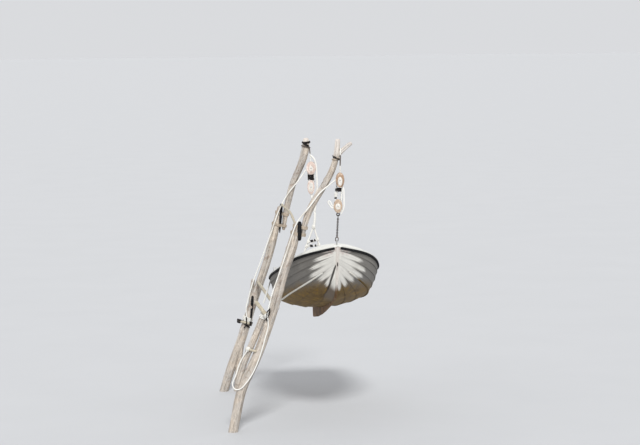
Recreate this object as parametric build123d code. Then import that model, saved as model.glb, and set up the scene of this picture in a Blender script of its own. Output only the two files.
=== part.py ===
from build123d import *
import math
import os

# A small clinker skiff hung bow-up between two davits made of natural poles.
# Millimetres, +Z up. Origin: centre of the near post at the ground.
# +X points out over the water, +Y from the near davit (bow) to the far davit (stern).

# --- boat ---
boat_length = 3800.0        # transom to stem head
boat_beam = 1590.0          # over the planking at the widest station
hull_wall = 14.0            # thickness of a strake
lap_step = 9.0              # how far each strake stands out over the one below
transom_wall = 30.0
rail_height = 34.0          # black rub rail
rail_depth = 22.0
cap_width = 60.0            # white gunwale cap
cap_height = 14.0
deck_height = 16.0
deck_crown = (140.0, 138.0, 8.0)     # rise of the foredeck in the middle, at its three stations
keel_width = 34.0
keel_depth = 32.0
skeg_depth = 190.0
thwart_height = 24.0
thwart_width = 230.0
board_height = 16.0         # floor boards
bilge_rail_width = 26.0
bilge_rail_depth = 14.0

# --- how the boat hangs ---
bow_x, bow_y, bow_z = 1555.0, -70.0, 2697.0   # stem head
boat_yaw, boat_pitch, boat_roll = 6.1, 9.6, 1.1

# --- davits ---
davit_spacing = 3570.0      # near davit plane to far davit plane
post_buried = 450.0         # length of each post below the ground

# --- tackles ---
rope_radius = 10.0
rope_gap = 1.0              # rope to the bottom of a sheave's groove
sheave_width = 36.0
sheave_side_gap = 2.5       # sheave to cheek
sheave_tip_gap = 7.0        # sheave rim to crown and tail
plate_wall = 5.0            # plate between two sheaves
cheek_wall = 14.0
pin_radius = 8.0
pin_gap = 0.08
chain_wire = 7.0
ring_wire = 8.0

os.makedirs("parts", exist_ok=True)


def save(node, shape):
    export_step(shape, "parts/" + node + ".step")


# ------------------------------------------------------------------ hull
# One row per station: share of the length at the keel, keel height, chine half-breadth
# (share of half the beam), chine height, share of the length, half-breadth and height at the sheer.
STATIONS = [
    (0.000, 131.0, 0.63, 258.0, -0.015, 0.82, 600.0),
    (0.240, 60.0, 0.78, 190.0, 0.240, 0.96, 570.0),
    (0.470, 40.0, 0.80, 190.0, 0.470, 1.00, 580.0),
    (0.680, 50.0, 0.70, 250.0, 0.690, 0.92, 622.0),
    (0.840, 120.0, 0.40, 385.0, 0.870, 0.60, 737.0),
    (0.910, 280.0, 0.04, 560.0, 1.000, 0.06, 804.0),
]
BOTTOM_STRAKES = 3
SIDE_STRAKES = 4
LAP_SHARE = (1.0, 1.0, 1.0, 1.0, 0.9, 0.25)     # laps die away at the stem


def along(station, z, shift=0.0):
    """x on the station's plane at height z."""
    kx, kz, _, _, sx, _, sz = station
    return boat_length * (kx + (sx - kx) * (z - kz) / (sz - kz)) + shift


def girth(station):
    """Strake edges of one side, from the keel to the sheer, as (y, z)."""
    _, kz, cw, cz, _, sw, sz = station
    half = boat_beam / 2
    keel, chine, sheer = (keel_width / 2, kz), (cw * half, cz), (sw * half, sz)
    pts = []
    for a, b, n, bulge in ((keel, chine, BOTTOM_STRAKES, 0.05), (chine, sheer, SIDE_STRAKES, 0.07)):
        dy, dz = b[0] - a[0], b[1] - a[1]
        for i in range(n):
            s = i / n
            k = bulge * 4 * s * (1 - s)
            pts.append((a[0] + dy * s + dz * k, a[1] + dz * s - dy * k))
    return pts + [sheer]


def outward(a, b):
    dy, dz = b[0] - a[0], b[1] - a[1]
    d = math.hypot(dy, dz)
    return dz / d, -dy / d


def wire_of(station, side, shift=0.0):
    """Closed planar section through the port points in side and their mirror."""
    port = [Vector(along(station, z, shift), y, z) for y, z in side]
    starboard = [Vector(p.X, -p.Y, p.Z) for p in reversed(port)]
    return make_face(Polyline(*port, *starboard, close=True))


def planked(station, share):
    edges = girth(station)
    side = [edges[0]]
    for i in range(len(edges) - 1):
        ny, nz = outward(edges[i], edges[i + 1])
        if i:
            side.append((edges[i][0] + lap_step * share * ny, edges[i][1] + lap_step * share * nz))
        side.append(edges[i + 1])
    return side


def inset(station, wall, above):
    edges = girth(station)
    side = []
    for i, p in enumerate(edges):
        a = outward(edges[max(i - 1, 0)], edges[max(i, 1)])
        b = outward(edges[min(i, len(edges) - 2)], edges[min(i + 1, len(edges) - 1)])
        side.append((max(p[0] - wall * (a[0] + b[0]) / 2, 3.0), p[1] - wall * (a[1] + b[1]) / 2))
    return side + [(side[-1][0], edges[-1][1] + above)]


def inner_volume(wall, above=120.0):
    shifts = [transom_wall, 0, 0, 0, 0, -4 * wall]
    return loft([wire_of(s, inset(s, wall, above), d) for s, d in zip(STATIONS, shifts)])


outer = loft([wire_of(s, planked(s, k)) for s, k in zip(STATIONS, LAP_SHARE)])
inner = inner_volume(hull_wall)
hull = outer - inner

# Rows of the sheer line: x, y, z at every station.
SHEER = [(along(s, s[6]), s[5] * boat_beam / 2, s[6]) for s in STATIONS]
CHINE = [(along(s, s[3]), s[2] * boat_beam / 2, s[3]) for s in STATIONS]


def strip(rows, quad):
    """Loft of the quads that quad(x, y, z) gives along the rows."""
    return loft([make_face(Polyline(*[Vector(*p) for p in quad(*r)], close=True)) for r in rows])


def mirror_pair(shape):
    return shape, mirror(shape, about=Plane.XZ)


def rail_quad(x, y, z):
    out, top, low = y + rail_depth, z - 0.2, z - rail_height
    return [(x, y - 12, top), (x, out, top), (x, out, low), (x, y - 12, low)]


def cap_quad(x, y, z):
    return [(x, y + rail_depth - 4, z), (x, y + rail_depth - 4, z + cap_height),
            (x, max(y - cap_width, 1), z + cap_height), (x, max(y - cap_width, 1), z)]


rail = strip(SHEER, rail_quad) - outer
rail_port, rail_starboard = mirror_pair(rail)
deck_start = 3
cap_port, cap_starboard = mirror_pair(strip(SHEER[:deck_start + 1], cap_quad) - outer - rail)


def deck_row(x, y, z, rise):
    """Section of the domed foredeck: a thin arch that stands on the planking."""
    w = y + rail_depth - 4
    low = w - 34
    top = [(x, w * s, z + deck_height + rise * (1 - s * s)) for s in (1.0, 0.85, 0.6, 0.3)]
    under = [(x, low * s, z + rise * (1 - s * s)) for s in (1.0, 0.85, 0.6, 0.3)]
    port = [(x, w, z)] + top + [(x, 0, z + deck_height + rise)]
    starboard = [(q[0], -q[1], q[2]) for q in reversed(port[:-1])]
    back = [(q[0], -q[1], q[2]) for q in under] + [(x, 0, z + rise)] + list(reversed(under))
    return port + starboard + back


DECK = [row + (rise,) for row, rise in zip(SHEER[deck_start:], deck_crown)]
foredeck = strip(DECK, deck_row) - outer - rail_port - rail_starboard

# Keel batten, deadwood and stem band in one outline, seated on the planking.
kx = [along(s, s[1]) for s in STATIONS]
kz = [s[1] for s in STATIONS]
stem_x, stem_z = SHEER[-1][0], SHEER[-1][2]
outline = [
    (20, kz[0] + 60), (20, kz[0] - skeg_depth), (620, kz[0] - skeg_depth - 18), (1300, kz[0] - skeg_depth - 6),
    (1900, kz[2] - keel_depth - 42), (2300, kz[2] - keel_depth - 14), (kx[3], kz[3] - keel_depth + 2),
    (2860, kz[3] + 10), (kx[4] + 20, kz[4] - keel_depth + 4), (kx[5] + 30, kz[5] - 6), (stem_x + 16, stem_z),
    (stem_x - 60, stem_z - 60), (kx[5] - 60, kz[5] + 20), (kx[4] - 40, kz[4] + 50), (kx[3], kz[3] + 40),
    (kx[2], kz[2] + 40), (kx[1], kz[1] + 40),
]
keel = extrude(make_face(Polyline(*[Vector(x, 0, z) for x, z in outline], close=True)),
               keel_width / 2, both=True) - outer - foredeck
keel = keel.solids().sort_by(SortBy.VOLUME)[-1]


def bilge_quad(x, y, z):
    w = bilge_rail_width / 2
    return [(x, y - w, z - 22), (x, y + bilge_rail_depth, z - 22),
            (x, y + bilge_rail_depth + 8, z + w), (x, y - w, z + w)]


ahead = Location((boat_length, 0, 500)) * Box(2 * 280, boat_beam, 1000)
bilge_port, bilge_starboard = mirror_pair(strip(CHINE, bilge_quad) - outer - ahead)


def seat(x, width, z, height):
    """A board across the boat, trimmed to the inside of the planking."""
    return Location((x, 0, z)) * Box(width, boat_beam, height) & inner


after_thwart = seat(250, 360, 430, thwart_height)
middle_thwart = seat(1650, thwart_width, 420, thwart_height)
forward_thwart = seat(2560, thwart_width, 460, thwart_height)
floor_boards = Compound([
    seat(1500, 2300, 150, board_height) & Location((1500, y, 150)) * Box(2400, 118, 60)
    for y in (-250, -125, 0, 125, 250)])
transom_x = along(STATIONS[0], 600)
transom_cap = Location((transom_x + transom_wall / 2 + 4, 0, 600 + cap_height / 2)) * Box(
    transom_wall + 26, 2 * (SHEER[0][1] - cap_width) - 1, cap_height)


def ring(centre, direction, radius, wire):
    return Location(Plane(origin=centre, z_dir=direction)) * Torus(radius, wire)


def rod(a, b, radius):
    a, b = Vector(*a), Vector(*b)
    return Location(Plane(origin=a, z_dir=b - a)) * Cylinder(
        radius, (b - a).length, align=(Align.CENTER, Align.CENTER, Align.MIN))


# Lifting ring on the stem head and ring bolts in the transom, for the slings.
lift_x = boat_length - 75
deck_top = (foredeck & Location((lift_x, 0, 850)) * Box(4, 4, 400)).bounding_box().max.Z
bow_ring = (rod((lift_x, 0, deck_top - 10), (lift_x, 0, deck_top + 12), 9)
            + ring((lift_x, 0, deck_top + 34), (0, 1, 0), 26, ring_wire)) - foredeck
sling_half = 245.0
sling_z = 600 + cap_height
stern_rings = [rod((22, y, sling_z), (22, y, sling_z + 10), 9)
               + ring((22, y, sling_z + 32), (1, 0, 0), 24, ring_wire) for y in (sling_half, -sling_half)]
eye_z = 560.0
eye_x = kx[5] + 30 + (stem_x + 16 - kx[5] - 30) * (eye_z - kz[5] + 6) / (stem_z - kz[5] + 6)
bow_eye = (rod((eye_x - 30, 0, eye_z), (eye_x + 12, 0, eye_z), 8) - outer - keel).solids().sort_by(SortBy.VOLUME)[-1]
bow_eye += ring((eye_x + 30, 0, eye_z), (0, 1, 0), 22, 7)

# Rowlock sockets: bored blocks on the gunwale caps.
socket_bore = 7.0
socket_x = 1980.0
SOCKET_Y = boat_beam / 2 - 26
socket_height = 40.0
sockets = []
for side, cap in ((1, cap_port), (-1, cap_starboard)):
    cap_top = (cap & Location((socket_x, side * SOCKET_Y, 600)) * Box(100, 44, 200)).bounding_box().max.Z
    base = Location((socket_x, side * SOCKET_Y, cap_top + 3)) * Box(110, 50, 26) - cap - outer - rail_port - rail_starboard
    block = Location((socket_x, side * SOCKET_Y, cap_top + 16 + socket_height / 2)) * Box(90, 44, socket_height)
    block -= Location((socket_x, side * SOCKET_Y, cap_top + 16 + socket_height / 2)) * Cylinder(
        socket_bore, socket_height)
    sockets.append(block + base)
socket_z = cap_top + 16 + socket_height / 2
print("rowlock bore middle", socket_x, SOCKET_Y, round(socket_z, 3))

# ------------------------------------------------------------- placing
cy, sy = math.cos(math.radians(boat_yaw)), math.sin(math.radians(boat_yaw))
cp, sp = math.cos(math.radians(boat_pitch)), math.sin(math.radians(boat_pitch))
cr, sr = math.cos(math.radians(boat_roll)), math.sin(math.radians(boat_roll))


def world_direction(v):
    x, y, z = v
    y, z = y * cr - z * sr, y * sr + z * cr
    x, z = x * cp - z * sp, x * sp + z * cp
    x, y = y, -x
    return Vector(x * cy - y * sy, x * sy + y * cy, z)


def in_world(p):
    return Vector(bow_x, bow_y, bow_z) + world_direction((p[0] - boat_length, p[1], p[2] - 800))


boat_place = Location(Plane(origin=in_world((0, 0, 0)), x_dir=world_direction((1, 0, 0)),
                            z_dir=world_direction((0, 0, 1))))
BOAT = {
    "hull": hull, "keel": keel, "rub_rail": Compound([rail_port, rail_starboard]),
    "gunwale_cap": Compound([cap_port, cap_starboard, transom_cap]), "foredeck": foredeck,
    "bilge_rails": Compound([bilge_port, bilge_starboard]),
    "thwarts": Compound([after_thwart, middle_thwart, forward_thwart]), "floor_boards": floor_boards,
    "bow_ring": bow_ring, "stern_rings": Compound(stern_rings), "bow_eye": bow_eye,
    "rowlock_sockets": Compound(sockets),
}
for node, shape in BOAT.items():
    save(node, boat_place * shape)

# ------------------------------------------------------------- davits
# Each pole: rows of x, z, radius up its middle line, in its davit's plane.
NEAR_POST = [(0, 0, 69), (64, 310, 69), (148, 648, 71), (314, 1000, 70), (478, 1400, 69), (668, 1992, 71),
             (789, 2399, 71), (925, 2820, 69), (971, 3067, 30)]
NEAR_SPAR = [(1053, 2877, 29), (1084, 3036, 43), (1173, 3271, 51), (1368, 3590, 48), (1523, 3911, 43),
             (1574, 4261, 35)]
NEAR_FORK = [(1520, 3960, 30), (1647, 4102, 32), (1774, 4204, 25)]
NEAR_DOUBLER = [(76, 693, 43), (169, 1001, 47), (276, 1249, 47), (362, 1445, 47), (446, 1658, 43), (491, 1775, 36)]
FAR_POST = [(-299, 0, 69), (-178, 380, 73), (-42, 742, 73), (111, 1201, 69),
            (315, 1790, 65), (468, 2248, 65), (571, 2655, 65), (657, 3029, 32)]
FAR_SPAR = [(709, 2637, 24), (753, 2931, 45), (805, 3158, 53), (859, 3359, 53), (1013, 3720, 57),
            (1091, 4049, 53), (1092, 4130, 41)]
FAR_BRACE = [(-87, -84, 49), (-57, 313, 49), (-19, 675, 49), (77, 1086, 41)]
FAR_PROP = [(135, 1135, 32), (164, 1497, 36), (202, 1841, 28)]


def pole(rows, y):
    rings = []
    for i, (x, z, r) in enumerate(rows):
        a, b = rows[max(i - 1, 0)], rows[min(i + 1, len(rows) - 1)]
        d = Vector(b[0] - a[0], 0, b[1] - a[1])
        rings.append(Plane(origin=(x, y, z), x_dir=(0, 1, 0), z_dir=d) * Circle(r))
    return loft(rings)


def planted(rows, y):
    """A pole with its straight round foot in the ground."""
    (x0, z0, r), (x1, z1, _) = rows[:2]
    d = Vector(x1 - x0, 0, z1 - z0).normalized()
    foot = Vector(x0, y, z0) - d * post_buried
    return pole(rows, y) + rod((foot.X, foot.Y, foot.Z), (x0, y, z0), r)


near_post = planted(NEAR_POST, 0)
near_spar = pole(NEAR_SPAR, 0) + pole(NEAR_FORK, 0) - near_post
near_doubler = pole(NEAR_DOUBLER, 0) - near_post
far_post = planted(FAR_POST, davit_spacing)
far_spar = pole(FAR_SPAR, davit_spacing) - far_post
far_brace = pole(FAR_BRACE, davit_spacing) - far_post
far_prop = (pole(FAR_PROP, davit_spacing) - far_post).solids().sort_by(SortBy.VOLUME)[-1]

near_wood, far_wood = near_post + near_spar, far_post + far_spar


def wedge(a, b, thick, y, wood):
    (x0, z0), (x1, z1) = a, b
    body = Location(Plane(origin=((x0 + x1) / 2, y, (z0 + z1) / 2), x_dir=(0, 1, 0),
                          z_dir=(x1 - x0, 0, z1 - z0))) * Box(60, thick, math.hypot(x1 - x0, z1 - z0))
    return body - wood


near_wedge = wedge((1013, 2850), (1016, 3040), 92, 0, near_wood)
far_wedge = wedge((668, 2700), (700, 2990), 92, davit_spacing, far_wood)


def middle(wood, y, z):
    """Middle x and radius of a pole at height z."""
    box = (wood & Location((0, y, z)) * Box(5000, 400, 2)).bounding_box()
    return box.center().X, box.size.Y / 2


lash_height = 54.0
lash_wall = 9.0
lash_slack = 5.0


def lashing(post, spar, z, y):
    """Band of rope round a post and its spar at height z."""
    (x0, r0), (x1, r1) = middle(post, y, z - 10), middle(spar, y, z)
    r = max(r0, r1) + lash_slack
    plane = Plane(origin=((x0 + x1) / 2, y, z), x_dir=(1, 0, -0.2), z_dir=(0.2, 0, 1))
    band = SlotCenterToCenter(x1 - x0, 2 * (r + lash_wall)) - SlotCenterToCenter(x1 - x0, 2 * r)
    return plane.location * extrude(band, lash_height / 2, both=True)


near_lashing = Compound([lashing(near_post, near_spar, z, 0) for z in (2905, 3008)])
far_lashing = Compound([lashing(far_post, far_spar, z, davit_spacing) for z in (2735, 2920)])

upper_spreader = (rod((690, davit_spacing - 20, 3000), (985, 20, 3055), 18)
                  - near_wood - far_wood - near_lashing - far_lashing - near_wedge - far_wedge)
lower_spreader = rod((285, davit_spacing - 30, 1792), (610, 30, 1880), 24) - near_post - far_post

near_cleat = rod((205, -62, 1235), (362, -62, 1190), 18) - near_doubler - near_post
near_peg = rod((372, -66, 1905), (520, -66, 1700), 19) - near_doubler - near_post
far_cleat = rod((-60, davit_spacing - 84, 1170), (175, davit_spacing - 84, 1110), 19) - far_post - far_brace

# ------------------------------------------------------------- tackles
# Each block: middle (x, z), half-width and half-height of the shell, sheave radius at the rope,
# number of sheaves.


def sheave(x, y, z, rope_line):
    rim = rope_line + rope_radius * 0.55
    body = Cylinder(rim, sheave_width) - Torus(rope_line + 5, rope_radius + rope_gap + 5) - Cylinder(
        pin_radius + pin_gap, sheave_width + 2)
    return Location((x, y, z), (90, 0, 0)) * body


def offsets(count):
    pitch = sheave_width + 2 * sheave_side_gap + plate_wall
    return [0.0] if count == 1 else [-pitch / 2, pitch / 2]


def shell(x, y, z, half_width, half_height, rope_line, count):
    slot = sheave_width + 2 * sheave_side_gap
    total = max(abs(o) for o in offsets(count)) * 2 + slot + 2 * cheek_wall
    body = extrude(Plane.XZ * Ellipse(half_width, half_height), total / 2, both=True)
    tall = 2 * (rope_line + rope_radius * 0.55 + sheave_tip_gap)
    for o in offsets(count):
        body -= Location((0, o, 0)) * Box(3 * half_width, slot, tall)
        for side in (1, -1):
            body -= Location((side * (rope_line + 6), o, 0)) * Box(2 * rope_radius + 34, slot, 3 * half_height)
    body -= Location((0, 0, 0), (90, 0, 0)) * Cylinder(pin_radius, total + 2)
    return Location((x, y, z)) * body, total


def tackle(y, upper, lower, lead):
    """Rope over the two upper sheaves and under the lower one, ending in the lead run."""
    ux, uz, uw, uh, ur = upper
    lx, lz, lw, lh, lr = lower
    front, back = offsets(2)
    out = {}
    out["upper_shell"], wide = shell(ux, y, uz, uw, uh, ur, 2)
    pins = [rod((ux, y - wide / 2 - 4, uz), (ux, y + wide / 2 + 4, uz), pin_radius)]
    out["lower_shell"], wide = shell(lx, y, lz, lw, lh, lr, 1)
    out["pins"] = Compound(pins + [rod((lx, y - wide / 2 - 4, lz), (lx, y + wide / 2 + 4, lz), pin_radius)])
    out["upper_sheave_front"] = sheave(ux, y + front, uz, ur)
    out["upper_sheave_back"] = sheave(ux, y + back, uz, ur)
    out["lower_sheave"] = sheave(lx, y, lz, lr)

    # The hauling part leaves the front sheave where a line to its first lead point touches it.
    dx, dz = lead[0][0] - ux, lead[0][2] - uz
    lead_at = math.degrees(math.atan2(dz, dx)) % 360 - math.degrees(math.acos(ur / math.hypot(dx, dz)))
    a = math.radians(lead_at)
    leave = Vector(ux + ur * math.cos(a), y + front, uz + ur * math.sin(a))
    shoulder = 46
    shoulder_z = lh * math.sqrt(1 - (shoulder / lw) ** 2)
    eye = Vector(lx + shoulder, y + back, lz + shoulder_z + 19)
    out["becket"] = (rod((eye.X, eye.Y, eye.Z - 40), (eye.X, eye.Y, eye.Z - 12), 7)
                     + ring(eye, (0, 1, 0), 15, 6)) - out["lower_shell"]
    # One rope: becket, over the back sheave, under the lower one, over the front one, down to its
    # cleat. Every corner is where a line that touches the sheaves meets the level above or below.
    top, low = uz + ur, lz - lr

    def cross(angle, x, z, r, level):
        n = Vector(math.cos(angle), math.sin(angle))
        return (n.X * x + n.Y * z + r - n.Y * level) / n.X

    lean = math.atan2(uz - lz, ux - lx)
    side = math.acos((lr - ur) / math.hypot(uz - lz, ux - lx))
    start = Vector(eye.X, eye.Y, eye.Z + 22.2)
    rise = math.atan2(start.Z - uz, start.X - ux) + math.acos(ur / math.hypot(start.Z - uz, start.X - ux))
    first = leave + (Vector(*lead[0]) - leave) * 0.45
    route = [start, Vector(cross(rise, ux, uz, ur, top), y + back, top),
             Vector(cross(lean + side, ux, uz, ur, top), y + back, top),
             Vector(cross(lean + side, ux, uz, ur, low), y, low), Vector(cross(lean - side, ux, uz, ur, low), y, low),
             Vector(cross(lean - side, ux, uz, ur, top), y + front, top), Vector(cross(a, ux, uz, ur, top), y + front, top),
             Vector(first.X, y + front - 7, first.Z)] + [Vector(*p) for p in lead]
    radii = [0.99 * r for r in (ur, ur, lr, lr, ur, ur)]
    for i in range(len(radii) + 1, len(route) - 1):
        before, after = route[i] - route[i - 1], route[i + 1] - route[i]
        radii.append(min(before.length, after.length) * 0.45 / math.tan(math.radians(before.get_angle(after)) / 2))
    path = FilletPolyline(*route, radius=radii)
    out["rope"] = sweep(Plane(origin=route[0], z_dir=route[1] - route[0]) * Circle(rope_radius), path=path)
    return out


near = tackle(0, (1600, 3669, 62, 106, 42), (1567, 3292, 64, 98, 42),
              [(1309, -72, 3498), (1162, -78, 3297), (962, -82, 3066), (880, -88, 2830),
               (730, -90, 2385), (600, -90, 2040), (540, -90, 1800)])
far_y = davit_spacing
far = tackle(far_y, (1168, 3642, 76, 104, 52), (1164, 3333, 58, 116, 40),
             [(960, far_y - 74, 3440), (790, far_y - 82, 3240), (650, far_y - 93, 3000),
              (430, far_y - 96, 2380), (190, far_y - 96, 1770), (90, far_y - 112, 1400)])

# Strops that carry the upper blocks, trimmed where they bite into the wood.
near_over = FilletPolyline((1600, -14, 3776.4), (1612, -48, 4120), (1612, 48, 4120), (1600, 14, 3776.4),
                           radius=[46, 46])
near_strop = sweep(Plane(origin=near_over @ 0, z_dir=near_over % 0) * Circle(9), path=near_over)
strop_z = 3990
strop_x, strop_r = middle(far_spar, far_y, strop_z)
strop_ring = strop_r + 2 + 9
far_strop = Location(Plane(origin=(strop_x, far_y, strop_z), z_dir=(0.22, 0, 0.97))) * Torus(strop_ring, 9)
for side in (1, -1):
    far_strop += rod((strop_x + strop_ring * 0.85, far_y + side * strop_ring * 0.5, strop_z - 12),
                     (1168, far_y + side * 14, 3747.8), 9)

# Hook under the near lower block, chain down to the ring on the stem head.
hook_z = 3292 - 98 - 24
near_hook = (rod((1567, 0, hook_z + 16), (1567, 0, hook_z + 50), 9)
             + ring((1567, 0, hook_z), (0, 1, 0), 20, ring_wire)) - near["lower_shell"]
chain_top = Vector(1567, 0, hook_z - 20)
chain_end = in_world((lift_x, 0, deck_top + 34 + 26))


def link(centre, down, turned, pitch):
    """One link: its ends lie inside its neighbours', with 0.3 mm between the wires."""
    side = Vector(0, 1, 0) if turned else Vector(1, 0, 0)
    side = (side - down * side.dot(down)).normalized()
    half = chain_wire * 2.4
    reach = 2 * (pitch / 2 + chain_wire + 0.15 - half)
    flat = Plane(origin=centre, x_dir=down, z_dir=down.cross(side))
    shape = SlotCenterToCenter(reach, 2 * (half + chain_wire)) - SlotCenterToCenter(reach, 2 * (half - chain_wire))
    return flat.location * extrude(shape, chain_wire, both=True)


links = 6
drop = chain_end - chain_top
down = drop.normalized()
pitch = (drop.length + 2 * ring_wire + 8.1) / links
first_link = chain_top - down * (ring_wire + 4.05 - pitch / 2)
chain = Compound([link(first_link + down * (i * pitch), down, i % 2 == 0, pitch) for i in range(links)])

# Bridle from the far lower block to the two ring bolts at the stern.
apex = Vector(1225, far_y - 10, 2920)
far_hook = Vector(1164, far_y, 3333 - 112)
legs = [in_world((22, y, sling_z + 32 + 24)) for y in (sling_half, -sling_half)]
leg_radius, trunk_radius = 12.0, 19.0
bridle = rod((far_hook.X, far_hook.Y, far_hook.Z), (apex.X, apex.Y, apex.Z), trunk_radius) + Location(
    (apex.X, apex.Y, apex.Z)) * Sphere(trunk_radius + 5)
for leg in legs:
    bridle += rod((apex.X, apex.Y, apex.Z), (leg.X, leg.Y, leg.Z), leg_radius)
bridle = bridle - far["lower_shell"] - boat_place * stern_rings[0] - boat_place * stern_rings[1]

for node, shape in {
        "near_post": near_post, "near_spar": near_spar, "near_doubler": near_doubler, "far_post": far_post,
        "far_spar": far_spar, "far_brace": far_brace, "far_prop": far_prop, "near_wedge": near_wedge,
        "far_wedge": far_wedge, "near_lashing": near_lashing, "far_lashing": far_lashing,
        "upper_spreader": upper_spreader, "lower_spreader": lower_spreader,
        "near_cleats": Compound([near_cleat, near_peg]), "far_cleat": far_cleat, "near_strop": near_strop, "far_strop": far_strop,
        "near_hook": near_hook, "bow_chain": chain, "stern_bridle": bridle}.items():
    save(node, shape)
for name, group in (("near_", near), ("far_", far)):
    for node, shape in group.items():
        save(name + node, shape)
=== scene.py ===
import math

import bmesh
import bpy
import numpy as np
from bpy.props import FloatProperty, FloatVectorProperty, IntProperty, PointerProperty
from mathutils import Matrix, Vector


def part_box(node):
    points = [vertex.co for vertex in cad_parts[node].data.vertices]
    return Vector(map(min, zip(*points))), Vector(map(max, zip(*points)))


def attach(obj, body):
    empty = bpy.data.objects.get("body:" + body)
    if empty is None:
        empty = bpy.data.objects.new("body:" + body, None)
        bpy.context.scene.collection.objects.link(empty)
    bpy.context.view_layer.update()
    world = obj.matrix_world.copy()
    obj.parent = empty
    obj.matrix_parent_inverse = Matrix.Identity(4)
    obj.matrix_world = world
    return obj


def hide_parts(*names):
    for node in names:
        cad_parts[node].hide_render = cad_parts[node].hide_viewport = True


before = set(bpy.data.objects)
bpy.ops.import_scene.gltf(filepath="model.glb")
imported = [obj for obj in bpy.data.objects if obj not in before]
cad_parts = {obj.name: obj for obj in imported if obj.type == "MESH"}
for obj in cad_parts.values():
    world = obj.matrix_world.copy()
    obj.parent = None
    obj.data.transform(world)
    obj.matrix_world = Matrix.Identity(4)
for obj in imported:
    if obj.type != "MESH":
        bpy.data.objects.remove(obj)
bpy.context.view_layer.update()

bl_info = {
    "name": "Clinker skiff on pole davits",
    "version": (1, 0, 0),
    "blender": (4, 5, 0),
    "location": "3D View > Sidebar > Skiff",
    "description": "Builds the skiff, its two pole davits and their tackles, with their finishes",
    "category": "Add Mesh",
}

ROOT = "davits"
# ROW runs from the near davit to the far one.
UP, ROW = (0, 0, 1), (0, 1, 0)

# ---- numbers shared with the solids
# One row per station: share of the length at the keel, keel height, chine half-breadth, chine
# height, share of the length, half-breadth and height at the sheer. Heights are metres, and
# half-breadths are shares of half the beam.
STATIONS = np.array([
    (0.000, 0.131, 0.63, 0.258, -0.015, 0.82, 0.600),
    (0.240, 0.060, 0.78, 0.190, 0.240, 0.96, 0.570),
    (0.470, 0.040, 0.80, 0.190, 0.470, 1.00, 0.580),
    (0.680, 0.050, 0.70, 0.250, 0.690, 0.92, 0.622),
    (0.840, 0.120, 0.40, 0.385, 0.870, 0.60, 0.737),
    (0.910, 0.280, 0.04, 0.560, 1.000, 0.06, 0.804),
])
LAP_SHARE = (1.0, 1.0, 1.0, 1.0, 0.9, 0.25)
LENGTH, BEAM, WALL, LAP, TRANSOM = 3.8, 1.59, 0.014, 0.009, 0.030
KEEL_WIDTH, KEEL_DEPTH, SKEG_DEPTH = 0.034, 0.032, 0.190
RAIL_HEIGHT, RAIL_DEPTH = 0.034, 0.022
CAP_WIDTH, CAP_HEIGHT, DECK_HEIGHT = 0.060, 0.014, 0.016
# Rise of the foredeck's middle at the last three stations.
DECK_CROWN = np.array([0.140, 0.138, 0.008])
# The stem head's place, and how the boat hangs.
BOW, STEM_HEIGHT = np.array([1.555, -0.070, 2.697]), 0.8
YAW, PITCH, ROLL = np.radians([6.1, 9.6, 1.1])
SPACING = 3.57

# Poles: rows of x, z, radius up the middle line, in the davit's plane.
POLES = {
    "near_post": (0.0, [
        (-0.0911, -0.4407, .069), (0, 0, .069), (.064, .310, .069), (.148, .648, .071),
        (.314, 1.0, .070), (.478, 1.4, .069), (.668, 1.992, .071), (.789, 2.399, .071),
        (.925, 2.820, .069), (.971, 3.067, .030)]),
    "near_spar": (0.0, [
        (1.053, 2.877, .029), (1.084, 3.036, .043), (1.173, 3.271, .051), (1.368, 3.590, .048),
        (1.523, 3.911, .043), (1.574, 4.261, .035)]),
    "near_fork": (0.0, [(1.520, 3.960, .030), (1.647, 4.102, .032), (1.774, 4.204, .025)]),
    "near_doubler": (0.0, [
        (.076, .693, .043), (.169, 1.001, .047), (.276, 1.249, .047), (.362, 1.445, .047),
        (.446, 1.658, .043), (.491, 1.775, .036)]),
    "far_post": (SPACING, [
        (-.4355, -.4288, .069), (-.299, 0, .069), (-.178, .380, .073), (-.042, .742, .073),
        (.111, 1.201, .069), (.315, 1.790, .065), (.468, 2.248, .065), (.571, 2.655, .065),
        (.657, 3.029, .032)]),
    "far_spar": (SPACING, [
        (.709, 2.637, .024), (.753, 2.931, .045), (.805, 3.158, .053), (.859, 3.359, .053),
        (1.013, 3.720, .057), (1.091, 4.049, .053), (1.092, 4.130, .041)]),
    "far_brace": (SPACING, [
        (-.087, -.084, .049), (-.057, .313, .049), (-.019, .675, .049), (.077, 1.086, .041)]),
    "far_prop": (SPACING, [(.135, 1.135, .032), (.164, 1.497, .036), (.202, 1.841, .028)]),
}


# ---- curves and meshes
# Points round a rope, a pole, a stick, a chain's wire, a dome, and half a link.
ROPE_RING, POLE_RING, STICK_RING, WIRE_RING, DOME_RING, BEND = 15, 44, 22, 10, 56, 12
# Sections along the hull, and along and across the foredeck.
FINE, DECK_ROWS, DECK_COLUMNS = 120, 90, 49


def unit(v):
    """v at length 1, row by row."""
    return v / np.linalg.norm(v, axis=-1, keepdims=True)


def circle(count):
    """Angles of count points round a ring."""
    return np.linspace(0, 2 * math.pi, count, endpoint=False)


def polar(radius, angle):
    """(side, up) offsets at a radius and an angle."""
    return np.stack([np.cos(angle) * radius, np.sin(angle) * radius], -1)


def superellipse(count, wide, high, power):
    """Rounded box of half-widths wide and high: cosine and sine to a power, with their signs."""
    c, s = np.cos(circle(count)), np.sin(circle(count))
    sides = wide * np.sign(c) * np.abs(c) ** power, high * np.sign(s) * np.abs(s) ** power
    return np.stack(sides, -1)


def rows_of(*columns):
    """Columns that share a shape, once spread over each other, as one array of rows."""
    return np.stack(np.broadcast_arrays(*columns), -1)


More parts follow.
